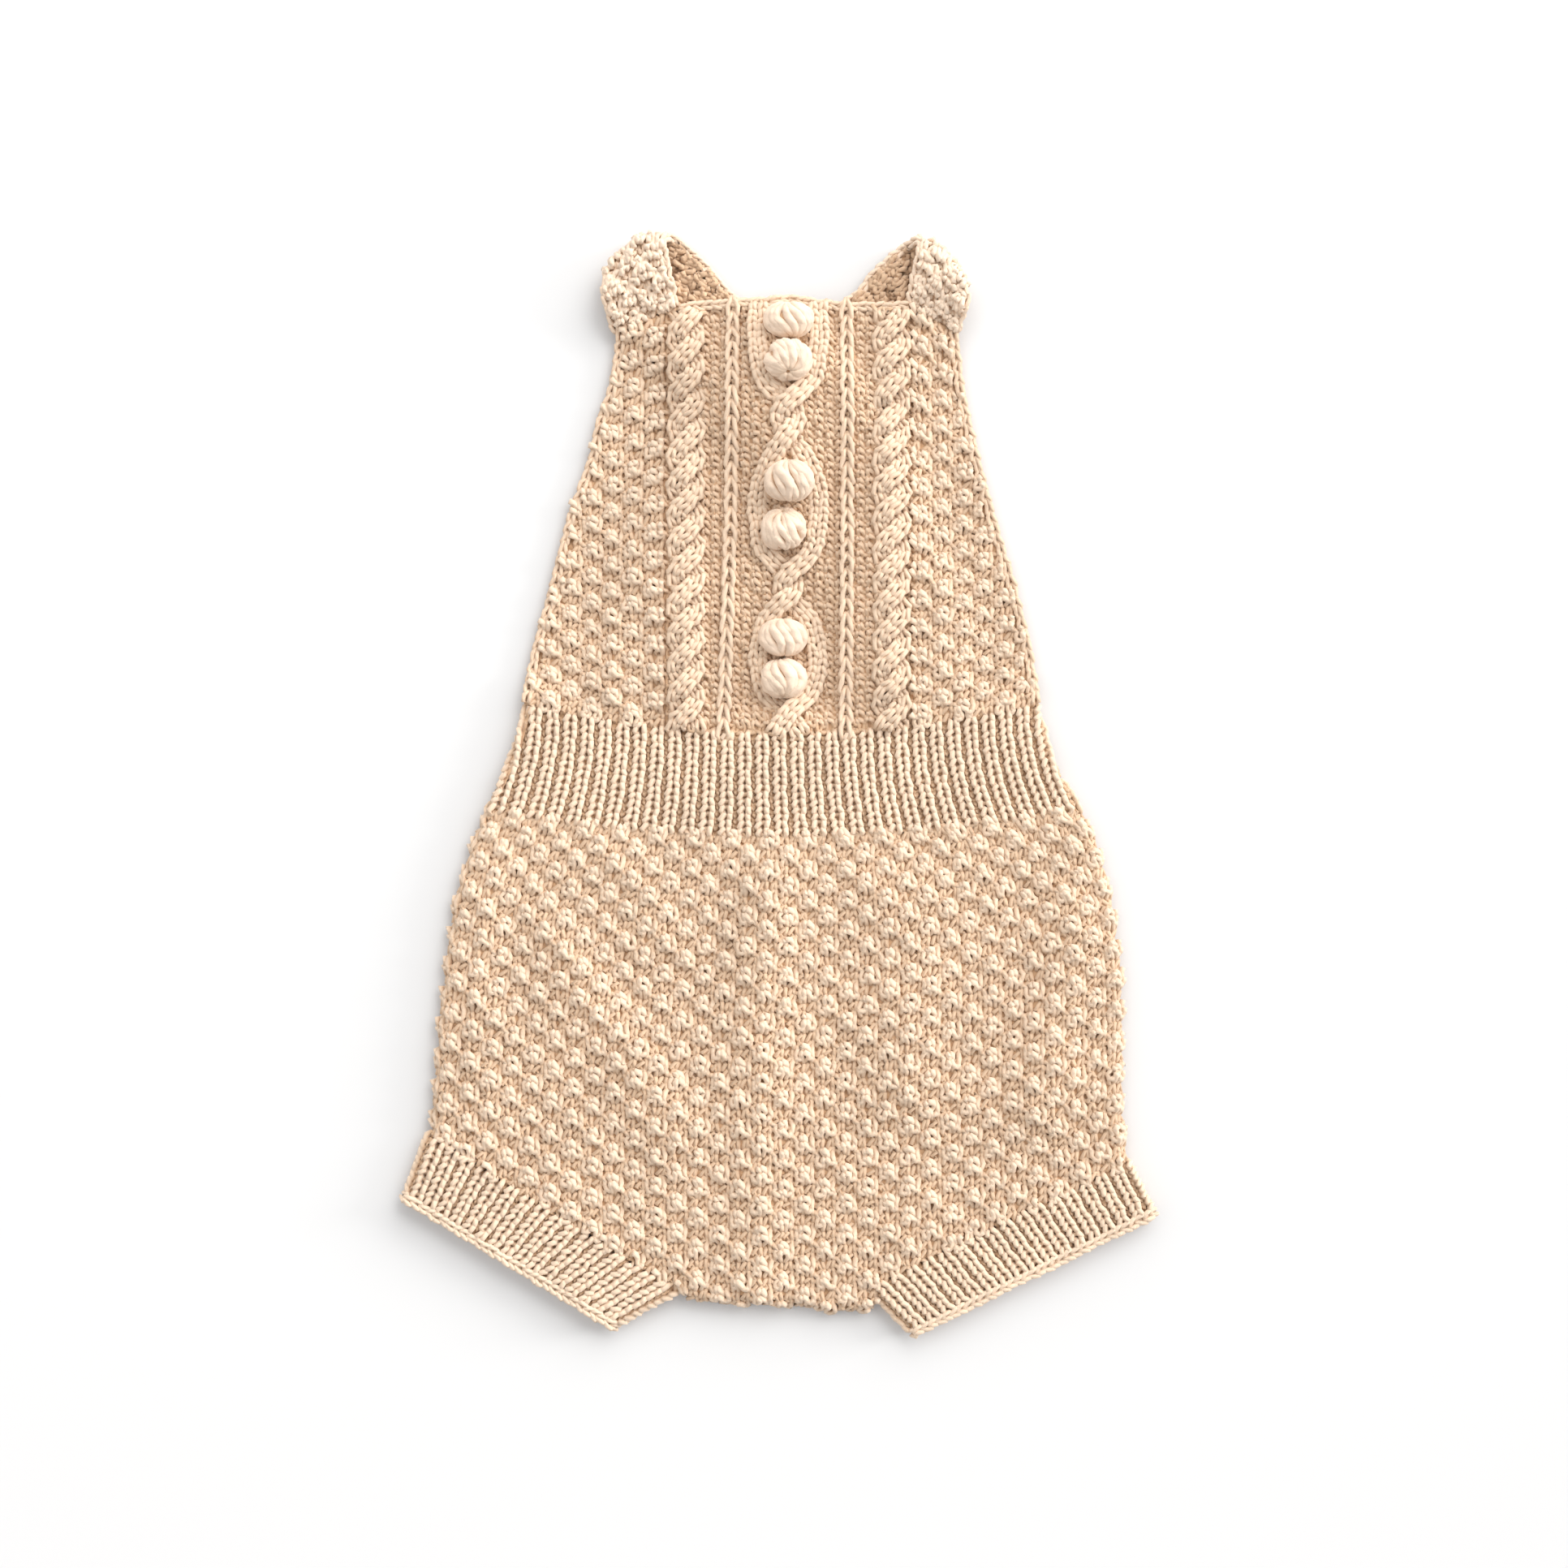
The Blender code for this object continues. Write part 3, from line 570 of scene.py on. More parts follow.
def cloth(name, place, cells, thick=0.7, sunk=0.75, around=False):
    """A sheet by shares across and along. around joins its two ends to a ring."""
    columns, rows = cells
    sheet = bmesh.new()
    bmesh.ops.create_grid(sheet, x_segments=columns, y_segments=rows, size=0.5)
    made = bmesh.ops.extrude_face_region(sheet, geom=sheet.faces[:], use_keep_orig=True)
    inner = {v for v in made["geom"] if isinstance(v, bmesh.types.BMVert)}
    if around:
        bmesh.ops.delete(sheet, geom=end_faces(sheet, inner), context="FACES")
    map_layer = sheet.loops.layers.uv.new("OFBake")
    for face in sheet.faces:
        flip = all(v in inner for v in face.verts)
        for corner in face.loops:
            share = corner.vert.co.x * 0.48 + (0.75 if flip else 0.25)
            corner[map_layer].uv = (share, corner.vert.co.y * 0.96 + 0.5)
    verts = sheet.verts[:]
    grid = np.array([v.co[:2] for v in verts])
    side = np.array([-0.5 if v in inner else 0.5 for v in verts]) * thick - sunk
    spots, _ = off_cloth(place, grid[:, 0] + 0.5, 0.5 - grid[:, 1], side)
    for vert, spot in zip(verts, spots):
        vert.co = spot * MM
    if around:
        bmesh.ops.remove_doubles(sheet, verts=verts, dist=SEAM_MEETS * MM)
    bmesh.ops.recalc_face_normals(sheet, faces=sheet.faces[:])
    if sheet.calc_volume(signed=True) < 0.0:
        bmesh.ops.reverse_faces(sheet, faces=sheet.faces[:])
    # The cloth takes the darker inner wool, painted shade where it shows through the holes between
    # loops.
    return finished(name, mesh_of(sheet, name), inner_shade_wool)


print("a tube's seam is merged within", SEAM_MEETS, "mm")

# %% [markdown]
# ## Wool
# The yarn is a soft matt oatmeal wool. Its colour is painted palest where a loop stands up to
# the light and warmer and deeper where it sinks between others, a painted shade. Its nodes are
# made by small functions, so that the sums that follow read almost as they would on paper.

# %% Functions that add nodes
def set_inputs(node, values):
    for name, value in values.items():
        node.inputs[name].default_value = value


def add_node(tree, kind, **settings):
    node = tree.nodes.new(kind)
    for name, value in settings.items():
        setattr(node, name, value)
    return node


def calc(tree, operation, *values):
    """Result of a maths node. Each value is the output of another node or a number."""
    node = add_node(tree, "ShaderNodeMath", operation=operation)
    for socket, value in zip(node.inputs, values):
        if isinstance(value, bpy.types.NodeSocket):
            tree.links.new(value, socket)
        else:
            socket.default_value = value
    return node.outputs["Value"]


def mapped(tree, value, low, high, new_low=0.0, new_high=1.0, **settings):
    """A value taken from one range to another."""
    node = add_node(tree, "ShaderNodeMapRange", **settings)
    ends = {"From Min": low, "From Max": high, "To Min": new_low, "To Max": new_high}
    set_inputs(node, ends)
    tree.links.new(value, node.inputs["Value"])
    return node.outputs["Result"]


def noise(tree, where, scale, detail, roughness):
    node = tree.nodes.new("ShaderNodeTexNoise")
    set_inputs(node, {"Scale": scale, "Detail": detail, "Roughness": roughness})
    tree.links.new(where, node.inputs["Vector"])
    return node.outputs["Fac"]


def noted(tree, name):
    """A number that the yarn keeps at its vertices."""
    return add_node(tree, "ShaderNodeAttribute", attribute_name=name).outputs["Fac"]


print("sockets of a maths node take a number or the output of another node")

# %% [markdown]
# The height that the yarn keeps picks a colour between sunken and raised: painted shade where it
# sinks and paler where it stands up. Patches of noise a few centimetres wide, mottle as fine as
# the yarn, and the strand's own number make it lighter or darker by a few per cent.

# %% Nodes of the wool's colour
# Heights over the cloth, in millimetres, at which the painted shade is deepest and the wool palest
SUNKEN_AT, RAISED_AT = -0.6, 2.1


def wool_colour_and_shade(tree, given, where):
    """Colour by height over the cloth with painted shade low down, toned by place and by strand."""
    link = tree.links.new
    rise = mapped(
        tree, noted(tree, "height"), SUNKEN_AT, RAISED_AT, interpolation_type="SMOOTHSTEP"
    )
    mixed = add_node(tree, "ShaderNodeMix", data_type="RGBA")
    link(rise, mixed.inputs["Factor"])
    link(given["Sunken_shade"], mixed.inputs["A"])
    link(given["Raised"], mixed.inputs["B"])
    patches = noise(tree, where, 38.0, 3.0, 0.6)
    mottle = noise(tree, where, 900.0, 3.0, 0.65)
    uneven = calc(tree, "MULTIPLY_ADD", mottle, 0.6, patches)
    tone = calc(tree, "MULTIPLY_ADD", noted(tree, "strand"), 0.10, uneven)
    toned = add_node(tree, "ShaderNodeVectorMath", operation="SCALE")
    link(mixed.outputs["Result"], toned.inputs["Vector"])
    link(mapped(tree, tone, 0.5, 1.1, 0.9, 1.08), toned.inputs["Scale"])
    return toned.outputs["Vector"]


print("wool is deepest at", SUNKEN_AT, "and palest at", RAISED_AT, "mm over the cloth")

# %% [markdown]
# Up close the yarn is two plies twisted together, with fine fibres on them. They are too small
# to model, so they are bump. A sine of the way along the yarn and round it gives the plies. On
# plain cloth the product of two sines, one across and one down, stands for blocks of stitches.

# %% Nodes of the wool's relief, and the group of both
# Width of a stitch and height of a row, in millimetres
STITCH = 3.57
ROW = 2.62
PLIES = 2.0
# Turns of the plies in one loop
LOOP_TURNS = 5.0


def x_and_y(tree, vector):
    split = tree.nodes.new("ShaderNodeSeparateXYZ")
    tree.links.new(vector, split.inputs["Vector"])
    return split.outputs["X"], split.outputs["Y"]


def wave(tree, value, length=1.0):
    """Sine of a value, with a wave for each length."""
    return calc(tree, "SINE", calc(tree, "MULTIPLY", value, 2 * math.pi / length))


def wool_height(tree, given, where):
    """Height of the plies, fibres and blocks of stitches."""
    yarn_map = add_node(tree, "ShaderNodeUVMap", uv_map="along_yarn")
    along, turned = x_and_y(tree, yarn_map.outputs["UV"])
    wound = calc(tree, "MULTIPLY_ADD", along, LOOP_TURNS, calc(tree, "MULTIPLY", turned, PLIES))
    fibres = noise(tree, where, 1900.0, 4.0, 0.75)
    surface = calc(tree, "MULTIPLY_ADD", wave(tree, wound), given["Twist"], fibres)
    x, y = x_and_y(tree, where)
    blocks = calc(tree, "MULTIPLY", wave(tree, x, 2 * STITCH * MM), wave(tree, y, 2 * ROW * MM))
    return calc(tree, "MULTIPLY_ADD", blocks, given["Stitches"], surface)


def wool_group():
    group = bpy.data.node_groups.new("wool", "ShaderNodeTree")
    for name, way, kind in (
        ("Raised", "INPUT", "Color"), ("Sunken_shade", "INPUT", "Color"), ("Twist", "INPUT", "Float"),
        ("Stitches", "INPUT", "Float"), ("Colour", "OUTPUT", "Color"),
        ("Height", "OUTPUT", "Float"),
    ):
        group.interface.new_socket(name, in_out=way, socket_type=f"NodeSocket{kind}")
    given = group.nodes.new("NodeGroupInput").outputs
    result = group.nodes.new("NodeGroupOutput").inputs
    where = group.nodes.new("ShaderNodeTexCoord").outputs["Object"]
    group.links.new(wool_colour_and_shade(group, given, where), result["Colour"])
    group.links.new(wool_height(group, given, where), result["Height"])
    return group


WOOL = wool_group()
print("the wool's group has", len(WOOL.nodes), "nodes")

# %% [markdown]
# All wools share the group, and the sunken colour of each is painted shade. The rib is painted
# a little deeper between its ribs, the bobbles and the straps are painted paler, a painted
# highlight where their nubs catch the light, and the back of the straps and the thin cloth are
# painted darker, a painted shade where little light comes.

# %% Materials of the yarn
WOOL_SURFACE = {
    "Roughness": 0.9, "Specular IOR Level": 0.25, "Sheen Weight": 0.5, "Sheen Roughness": 0.5,
    "Sheen Tint": (1.0, 0.93, 0.84, 1.0),
}


def wool_material(name, raised, sunken, twist=0.5, stitches=0.0, bump=0.0003):
    """Wool paler where raised and darker where sunken, a painted shade. bump is in metres."""
    material = bpy.data.materials.new(name)
    material.use_nodes = True
    tree = material.node_tree
    shader = tree.nodes["Principled BSDF"]
    set_inputs(shader, WOOL_SURFACE)
    wool = add_node(tree, "ShaderNodeGroup", node_tree=WOOL)
    colours = {"Raised": (*raised, 1.0), "Sunken_shade": (*sunken, 1.0)}
    set_inputs(wool, {**colours, "Twist": twist, "Stitches": stitches})
    tree.links.new(wool.outputs["Colour"], shader.inputs["Base Color"])
    relief = tree.nodes.new("ShaderNodeBump")
    set_inputs(relief, {"Strength": 0.6, "Distance": bump})
    tree.links.new(wool.outputs["Height"], relief.inputs["Height"])
    tree.links.new(relief.outputs["Normal"], shader.inputs["Normal"])
    return material


# Each sunken colour below is painted shade. The bobble and strap wools are painted paler, a painted
# highlight, and the shade wool and the inner wool are painted darker, painted shade.
body_wool = wool_material("body_wool", (0.84, 0.66, 0.505), (0.60, 0.39, 0.235))
rib_wool = wool_material("rib_wool", (0.835, 0.655, 0.50), (0.57, 0.37, 0.22))
bobble_highlight_wool = wool_material("bobble_highlight_wool", (0.88, 0.70, 0.55), (0.79, 0.59, 0.43), bump=0.0004)
strap_highlight_wool = wool_material("strap_highlight_wool", (0.87, 0.695, 0.545), (0.66, 0.455, 0.295))
shade_wool = wool_material("shade_wool", (0.68, 0.47, 0.31), (0.33, 0.19, 0.10))
inner_shade_wool = wool_material("inner_shade_wool", (0.70, 0.47, 0.29), (0.66, 0.42, 0.25), 0.0, 3.0)
print("materials:", [m.name for m in bpy.data.materials if "wool" in m.name])

# %% [markdown]
# ## Hand knitting
# Rows and columns of hand knitting wander a little. A smooth wave of place is added to every
# point of a loop, so loops that touch still touch. Random numbers would pull them apart. A
# batch is a set of loops ready for yarn.

# %% A batch of stitches on a place, and pieces made of batches
# Radius of the yarn, how much thicker it looks for each millimetre that it stands up, and the
# height of the stitches' middle over the underside of a wall
YARN_RADIUS = 0.95
SWELL = 0.2
MIDDLE = 2.0


def wander(lines, amount):
    x, y = lines[..., 0], lines[..., 1]
    aside = np.sin(0.61 * x + 1.13 * y) + np.sin(1.27 * x - 0.49 * y + 1.0)
    onward = np.sin(1.05 * x + 0.57 * y + 2.0) + np.sin(0.43 * x - 1.31 * y + 4.0)
    upward = np.sin(0.83 * x + 0.71 * y + 3.0) + np.sin(0.31 * x + 0.23 * y)
    quick = np.sin(1.71 * x + 1.37 * y + np.sin(0.77 * y)), np.sin(1.93 * y - 0.91 * x + 2.0)
    aside, onward = aside + 0.6 * quick[0], onward + 0.6 * quick[1]
    return lines + amount * np.stack((aside, onward, 0.7 * upward), axis=-1)


def batch(place, chart, sunk=0.0, radius=YARN_RADIUS, first_row=0.0, loose=0.2, **shape):
    """Loops of a chart laid on a place, sunk by a height, or by one for each stitch."""
    across, along, rise = loops(chart, **shape)
    rise = rise - np.broadcast_to(np.reshape(sunk, (-1, 1)), rise.shape)
    lines, outs = off_cloth(place, across, along + first_row, rise)
    return wander(lines, loose), outs, rise, radius * (1.0 + SWELL * rise)


def joined(*batches):
    return tuple(np.concatenate(parts) for parts in zip(*batches))


def chosen(stitches, keep):
    return tuple(part[keep] for part in stitches)


def knitted(name, stitches, material):
    lines, outs, rise, radius = stitches
    piece = yarn(name, lines, outs, rise, radius, material)
    print(name, "has", len(lines), "loops and", len(piece.data.polygons), "faces")
    return piece


def runs_along(path):
    """Way from the start of a path to each of its points."""
    return np.concatenate(([0.0], np.cumsum(np.linalg.norm(np.diff(path, axis=0), axis=1))))


def edge_chain(path, width, pitch, lift=0.0, radius=0.78):
    """A chain of loops along a path, given as its x, y and z, in steps of about a pitch."""
    path = np.stack(path, axis=-1)
    runs = runs_along(path)
    count = max(2, round(runs[-1] / pitch))

    def place(across, along):
        run = along * runs[-1] / count
        here = [np.interp(run, runs, path[:, k]) for k in range(3)]
        near = [np.interp(run - 0.8, runs, path[:, k]) for k in range(2)]
        far = [np.interp(run + 0.8, runs, path[:, k]) for k in range(2)]
        way_x, way_y = far[0] - near[0], far[1] - near[1]
        length = np.maximum(np.hypot(way_x, way_y), 1e-6)
        off = (across - 0.5) * width / length
        return here[0] - way_y * off, here[1] + way_x * off, here[2]

    chart = np.ones((count, 1), int)
    return batch(place, chart, sunk=-lift, radius=radius, half=CHAIN_LOOP, depth=0.5)


print("the stitches' middle lies", MIDDLE, "mm over the underside of a wall")

# %% [markdown]
# ## Bib
# The bib is worked in panels: moss stitch at both sides, a cable inside each, then purl ground
# with one raised chain of stitches, and the wide middle cable. The edges between stitches are
# written down once, from the left side to the right. The ground gets no stitches where the side
# cables and the bobbles cover it.

# %% Bib: panels and places
BIB_ROWS = 58
MOSS_COLUMNS = 16
# Panels of the bib from left to right: (name, stitches, right edge x)
BIB_PANELS = (
    ("moss", MOSS_COLUMNS, -39.8), ("ground", 1, -36.2), ("gap", 2, -29.0), ("ground", 3, -18.6),
    ("ground", 1, -15.2), ("ground", 10, 20.9), ("ground", 1, 24.6), ("ground", 3, 34.6),
    ("gap", 2, 42.0), ("ground", 1, 45.6), ("moss", MOSS_COLUMNS, 45.6 + MOSS_COLUMNS * STITCH),
)


def panel_edges(panels, start):
    """Edges between the stitches of some panels, and the name of each stitch's panel."""
    edges = [start]
    names = []
    for name, count, right in panels:
        edges += list(np.linspace(edges[-1], right, count + 1)[1:])
        names += [name] * count
    return np.array(edges), np.array(names)


bib_edges, bib_names = panel_edges(BIB_PANELS, -39.8 - MOSS_COLUMNS * STITCH)


def on_bib(x, y, rise=0.0):
    """A place on the bib, at a rise over the middle of its stitches."""
    return x, y, bib_under(x, y) + MIDDLE + rise


def place_bib(across, along):
    x = stretched(across, bib_edges)
    return on_bib(x, bib_rows(x, between(0.01, 1.0, along / BIB_ROWS)))


def place_bib_cloth(across, along):
    """The whole bib: a share across from side to side, and a share down."""
    down = between(0.005, 1.0, along)
    start = between(160.0, 20.0, along)
    return on_bib(*within_sides(across, 0.8, start, lambda x: bib_rows(x, down), 6))


print("the bib is", len(bib_names), "stitches wide and", BIB_ROWS, "rows high")

# %% [markdown]
# Moss stitch is knit and purl stitches set as in a chessboard. Here its squares are two
# stitches wide and two rows high. The purl ones stand up and the knit ones sink between them.

# %% Bib: moss stitch and ground
MOSS_SHAPE = {
    "half": MOSS_KNIT, "purl": PURL_LOOP, "lift": (-0.6, 0.4), "lean": (-0.4, 0.12),
    "narrow": 0.1, "loose": 0.28,
}
# How much deeper the purl ground lies than moss stitch, and the room kept for the side chains
GROUND_SUNK = 1.1
EDGE_ROOM = 2.7
# The ground stops within this share of a bobble's width and height
UNDER_BOBBLE = 0.36
# Centre x, y, width and height of each bobble, and how far its upper pole tips forwards
BOBBLES = (
    (3.1, 159.0, 16.6, 12.6, 0.10), (2.8, 145.2, 15.4, 14.4, -0.75),
    (3.1, 103.8, 16.6, 14.6, 0.20), (1.1, 87.6, 15.2, 14.8, 0.55),
    (1.1, 50.6, 15.6, 13.4, 0.15), (1.1, 36.4, 15.4, 13.8, -0.30),
)


def moss(rows, columns, shift=0):
    """Chart of moss stitch: blocks of two purl stitches over two rows, and two of knit."""
    r, c = np.indices((rows, columns))
    return np.where((r // 2 + (c + shift) // 2) % 2 == 0, -1, 1)


chart = moss(BIB_ROWS, len(bib_names))
chart[:, bib_names == "ground"] = -1
chart[:, bib_names == "gap"] = 0
r, c = np.indices(chart.shape)
x, y, _ = place_bib(c + 0.5, r + 0.5)
chart[(x < left_edge(y) + EDGE_ROOM) | (x > right_edge(y) - EDGE_ROOM)] = 0
for ball_x, ball_y, wide, tall, _ in BOBBLES:
    chart[np.hypot((x - ball_x) / wide, (y - ball_y) / tall) < UNDER_BOBBLE] = 0
is_ground = bib_names[np.nonzero(chart)[1]] == "ground"
bib_ground = batch(place_bib, chart, sunk=np.where(is_ground, GROUND_SUNK, 0.0), **MOSS_SHAPE)
print("stitches in moss and ground:", len(bib_ground[0]))

# %% [markdown]
# A cable is two strands that swap places. Each strand is two columns of knit stitches on a
# line of its own, which swings from side to side as it goes down and is raised where it passes
# in front. In the side cables the front strand always leans the same way, so they look like
# rope. A chain is a single column of wide knit stitches.

# %% Bib: side cables and chains
# Side cables: (centre x, y where a crossing starts)
SIDE_CABLES = ((-32.4, 81.5), (38.4, 80.0))
CABLE_CROSSING = 10.36
CABLE_SWING = 3.5
CABLE_STITCH = 3.25
# Height of a side cable's middle, and how far its strands rise and sink from there
CABLE_HIGH = 1.0
CABLE_LIFT = 1.4
# Chain columns beside the middle cable: (y, left column x, right column x)
CHAINS = ((170.0, -16.2, 23.0), (90.0, -17.0, 23.2), (18.0, -19.6, 22.6))
# Length and width of a chain's stitch
CHAIN_STITCH = 5.3
CHAIN_WIDE = 4.5


def strand_place(line, width, columns):
    """Places across and along a strand of some columns of stitches, on a line of its own."""

    def place(across, along):
        x, y, z = line(along)
        far_x, far_y, _ = line(along + 0.1)
        near_x, near_y, _ = line(along - 0.1)
        way_x, way_y = far_x - near_x, far_y - near_y
        off = (across - columns / 2) * width / np.hypot(way_x, way_y)
        return x - way_y * off, y + way_x * off, z

    return place


def side_cable(centre, start, half_turn):
    def line(along):
        y = bib_rows(np.full(np.shape(along), centre), along / BIB_ROWS)
        phase = math.pi * ((start - y) / CABLE_CROSSING + half_turn)
        rise = CABLE_HIGH + CABLE_LIFT * np.sin(phase)
        return on_bib(centre + CABLE_SWING * np.cos(phase), y, rise)

    chart = np.ones((BIB_ROWS - 1, 2), int)
    return batch(strand_place(line, CABLE_STITCH, 2), chart, radius=0.92, first_row=1.0)


def chain_column(column):
    def line(along):
        y = bib_rows(lookup(CHAINS, 90.0, column), along * CHAIN_STITCH / (BIB_ROWS * ROW))
        return on_bib(lookup(CHAINS, y, column), y, 0.7)

    chart = np.ones((round(BIB_ROWS * ROW / CHAIN_STITCH), 1), int)
    return batch(strand_place(line, CHAIN_WIDE, 1), chart, radius=0.86, half=CHAIN_LOOP)


raised = []
for centre, start in SIDE_CABLES:
    raised += [side_cable(centre, start, 0.0), side_cable(centre, start, 1.0)]
raised += [chain_column(1), chain_column(2)]
print("stitches in side cables and chains:", sum(len(strand[0]) for strand in raised))

# %% [markdown]
# The middle cable's two strands part round each pair of bobbles and twist between the pairs.
# Half the distance between them is a table by height. It turns negative where the strands have
# swapped sides, so each stays one unbroken line from top to bottom.

# %% Bib: middle cable
CENTRE_X = 2.8
CENTRE_STITCH = 3.3
# Height of a strand, how far it rises or sinks more at a crossing, and half that stretch
CENTRE_HIGH = 0.8
CROSSING_LIFT = 1.6
CROSSING_HALF = 4.5
# (y, half distance between the strands, negative once they have crossed)
CENTRE_CABLE = (
    (170.0, 10.2), (152.0, 10.8), (138.0, 8.6), (131.5, 0.0), (126.0, -4.0), (119.4, 0.0),
    (115.0, 4.0), (109.0, 7.4), (102.0, 10.2), (96.0, 10.8), (80.0, 9.0), (72.5, 0.0),
    (68.0, -3.8), (64.5, 0.0), (57.0, 8.0), (43.0, 10.8), (31.0, 8.0), (25.0, 0.0), (15.0, -6.0),
)
# Where the strands cross: (y, strand in front, 1 for the one that starts on the right)
CROSSINGS = ((131.5, 1), (119.4, -1), (72.5, 1), (64.5, -1), (25.0, 1))


def centre_strand(way):
    def line(along):
        y = bib_rows(np.full(np.shape(along), CENTRE_X), along / BIB_ROWS)
        apart = sum(lookup(CENTRE_CABLE, y + step, 1) for step in (-3.0, -1.5, 0.0, 1.5, 3.0)) / 5
        rise = CENTRE_HIGH
        for cross_y, front in CROSSINGS:
            near = np.exp(-(((y - cross_y) / CROSSING_HALF) ** 2))
            rise = rise + CROSSING_LIFT * way * front * near
        return on_bib(CENTRE_X + way * apart, y, rise)

    chart = np.ones((BIB_ROWS - 1, 2), int)
    return batch(strand_place(line, CENTRE_STITCH, 2), chart, radius=0.98, first_row=1.0)


raised = joined(*raised, centre_strand(1), centre_strand(-1))
print("stitches in all cables and chains:", len(raised[0]))

# %% [markdown]
# A chain of loops runs down both sides and along the neckline, as where a knitter picks up or
# binds off. The ground and its edges are then made as a left and a right piece, so that no mesh
# grows too heavy, and the cables as a third.

# %% Bib: edges and pieces
# Width and length of the stitches along the bib's sides and along its neckline
SIDE_CHAIN = (2.8, 3.8)
NECK_CHAIN = (2.6, 3.0)


def bib_side(edge, inset):
    y = between(157.0, 28.0, np.linspace(0.0, 1.0, 60))
    x = edge(y) + inset
    return on_bib(x, np.maximum(y, waist_top(x) + 0.5))


neck_x = np.linspace(-35.0, 44.6, 40)
neckline = on_bib(neck_x, lookup(BIB_TOP, neck_x, 1) - 0.9, 0.2)
edges = joined(
    edge_chain(bib_side(left_edge, 1.5), *SIDE_CHAIN),
    edge_chain(bib_side(right_edge, -1.5), *SIDE_CHAIN),
    edge_chain(neckline, *NECK_CHAIN, lift=0.1),
)
bib_loops = joined(bib_ground, edges)
on_left = bib_loops[0][:, 5, 0] < CENTRE_X
bib_pieces = [
    knitted("bib_yarn_left", chosen(bib_loops, on_left), body_wool),
    knitted("bib_yarn_right", chosen(bib_loops, ~on_left), body_wool),
    knitted("bib_cables", raised, body_wool),
]
bib_cloth = cloth("bib_cloth", place_bib_cloth, (56, 46))
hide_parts("front_bib")

# %% [markdown]
# ## Bobbles
# A bobble is a few stitches worked over and over in one place until they gather into a ball.
# Its rows show as smooth fat strands that run from one pole to the other. Each is a tube that
# is thick at its middle and thin at its ends, laid on an egg-shaped form, over a plain ball
# that closes the hollow inside. No two strands are quite as fat, as straight or as far apart.

# %% Bobbles
# How far a bobble stands over the cloth, and the height of its middle
BOBBLE_RISE = 7.2
BOBBLE_MIDDLE = 2.0
BOBBLE_STRANDS = 17
BOBBLE_SIDES = 8
# How far a bobble's base is sunk into the cloth, and for its strands and its core how far
# inside its form they lie and how high over its base they stay
BASE_SUNK = 0.5
STRAND_INSET, STRAND_LOWEST = 1.1, 0.6
CORE_INSET, CORE_LOWEST = 1.2, 0.4


def bobble_strands(tip):
    """Ways out along the strands of a ball, their thickness, and how far they stand out."""
    turns = np.arange(BOBBLE_STRANDS) + rng.uniform(-0.45, 0.45, BOBBLE_STRANDS)
    turns = turns[:, None] * 2 * math.pi / BOBBLE_STRANDS
    poles = np.linspace(0.03, 0.97, 11)[None, :] * math.pi
    bend = rng.uniform(-0.3, 0.3, (BOBBLE_STRANDS, 1))
    swirl = turns + 0.5 * np.cos(poles) + bend * np.sin(3.0 * poles)
    aside, up, out = np.sin(poles) * np.cos(swirl), np.cos(poles), np.sin(poles) * np.sin(swirl)
    tipped = up * math.cos(tip) - out * math.sin(tip), up * math.sin(tip) + out * math.cos(tip)
    fat = rng.uniform(0.8, 1.15, (BOBBLE_STRANDS, 1))
    lumps = 1.0 + 0.1 * np.sin(2.6 * poles + rng.uniform(0.0, 6.3, (BOBBLE_STRANDS, 1)))
    radius = (0.75 + 1.05 * np.sin(poles) ** 0.7) * fat * lumps
    rise = np.broadcast_to(1.0 - 1.6 * np.abs(np.cos(poles)) ** 3, swirl.shape)
    return np.stack((aside, *tipped), axis=-1), radius, rise


def bobble_core(name, middle, half, lowest):
    """A plain ball that is flat where it would reach below the cloth."""
    core = bmesh.new()
    bmesh.ops.create_uvsphere(core, u_segments=24, v_segments=14, radius=1.0)
    uv = core.loops.layers.uv.new("OFBake")
    for face in core.faces:
        for corner in face.loops:
            corner[uv].uv = (0.5 + 0.49 * corner.vert.co.x, 0.5 + 0.49 * corner.vert.co.y)
    for vert in core.verts:
        spot = middle + np.array(vert.co) * half
        vert.co = (spot[0] * MM, spot[1] * MM, max(spot[2], lowest) * MM)
    # The core takes the darker inner wool, painted shade in the gaps between the bobble's strands.
    return finished(name, mesh_of(core, name), inner_shade_wool)


def bobble(number, x, y, wide, tall, tip):
    base = float(bib_under(np.array([x]), np.array([y]))[0]) + WALL - BASE_SUNK
    half = np.array((wide / 2, tall / 2, BOBBLE_RISE - BOBBLE_MIDDLE))
    middle = np.array((x, y, base + BOBBLE_MIDDLE))
    spun, radius, rise = bobble_strands(tip)
    lines = middle + spun * (half - STRAND_INSET)
    lines[..., 2] = np.maximum(lines[..., 2], base + STRAND_LOWEST)
    outs = spun / np.linalg.norm(spun, axis=-1, keepdims=True)
    name = f"bobble_yarn_{number}"
    piece = yarn(name, lines, outs, rise, radius, bobble_highlight_wool, BOBBLE_SIDES)
    core_half, lowest = half - CORE_INSET, base + CORE_LOWEST
    inside = bobble_core(f"bobble_core_{number}", middle, core_half, lowest)
    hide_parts(f"bobble_{number}")
    return [piece, inside]


bobbles = []
for number, spot in enumerate(BOBBLES, start=1):
    bobbles += bobble(number, *spot)
print("bobbles:", len(BOBBLES))

# %% [markdown]
# ## Waistband
# Single rib is one knit stitch and one purl stitch in turn. The knit stitches stand up and push
# the purl stitches into the grooves between them, so the knit columns take up four fifths of
# the width.

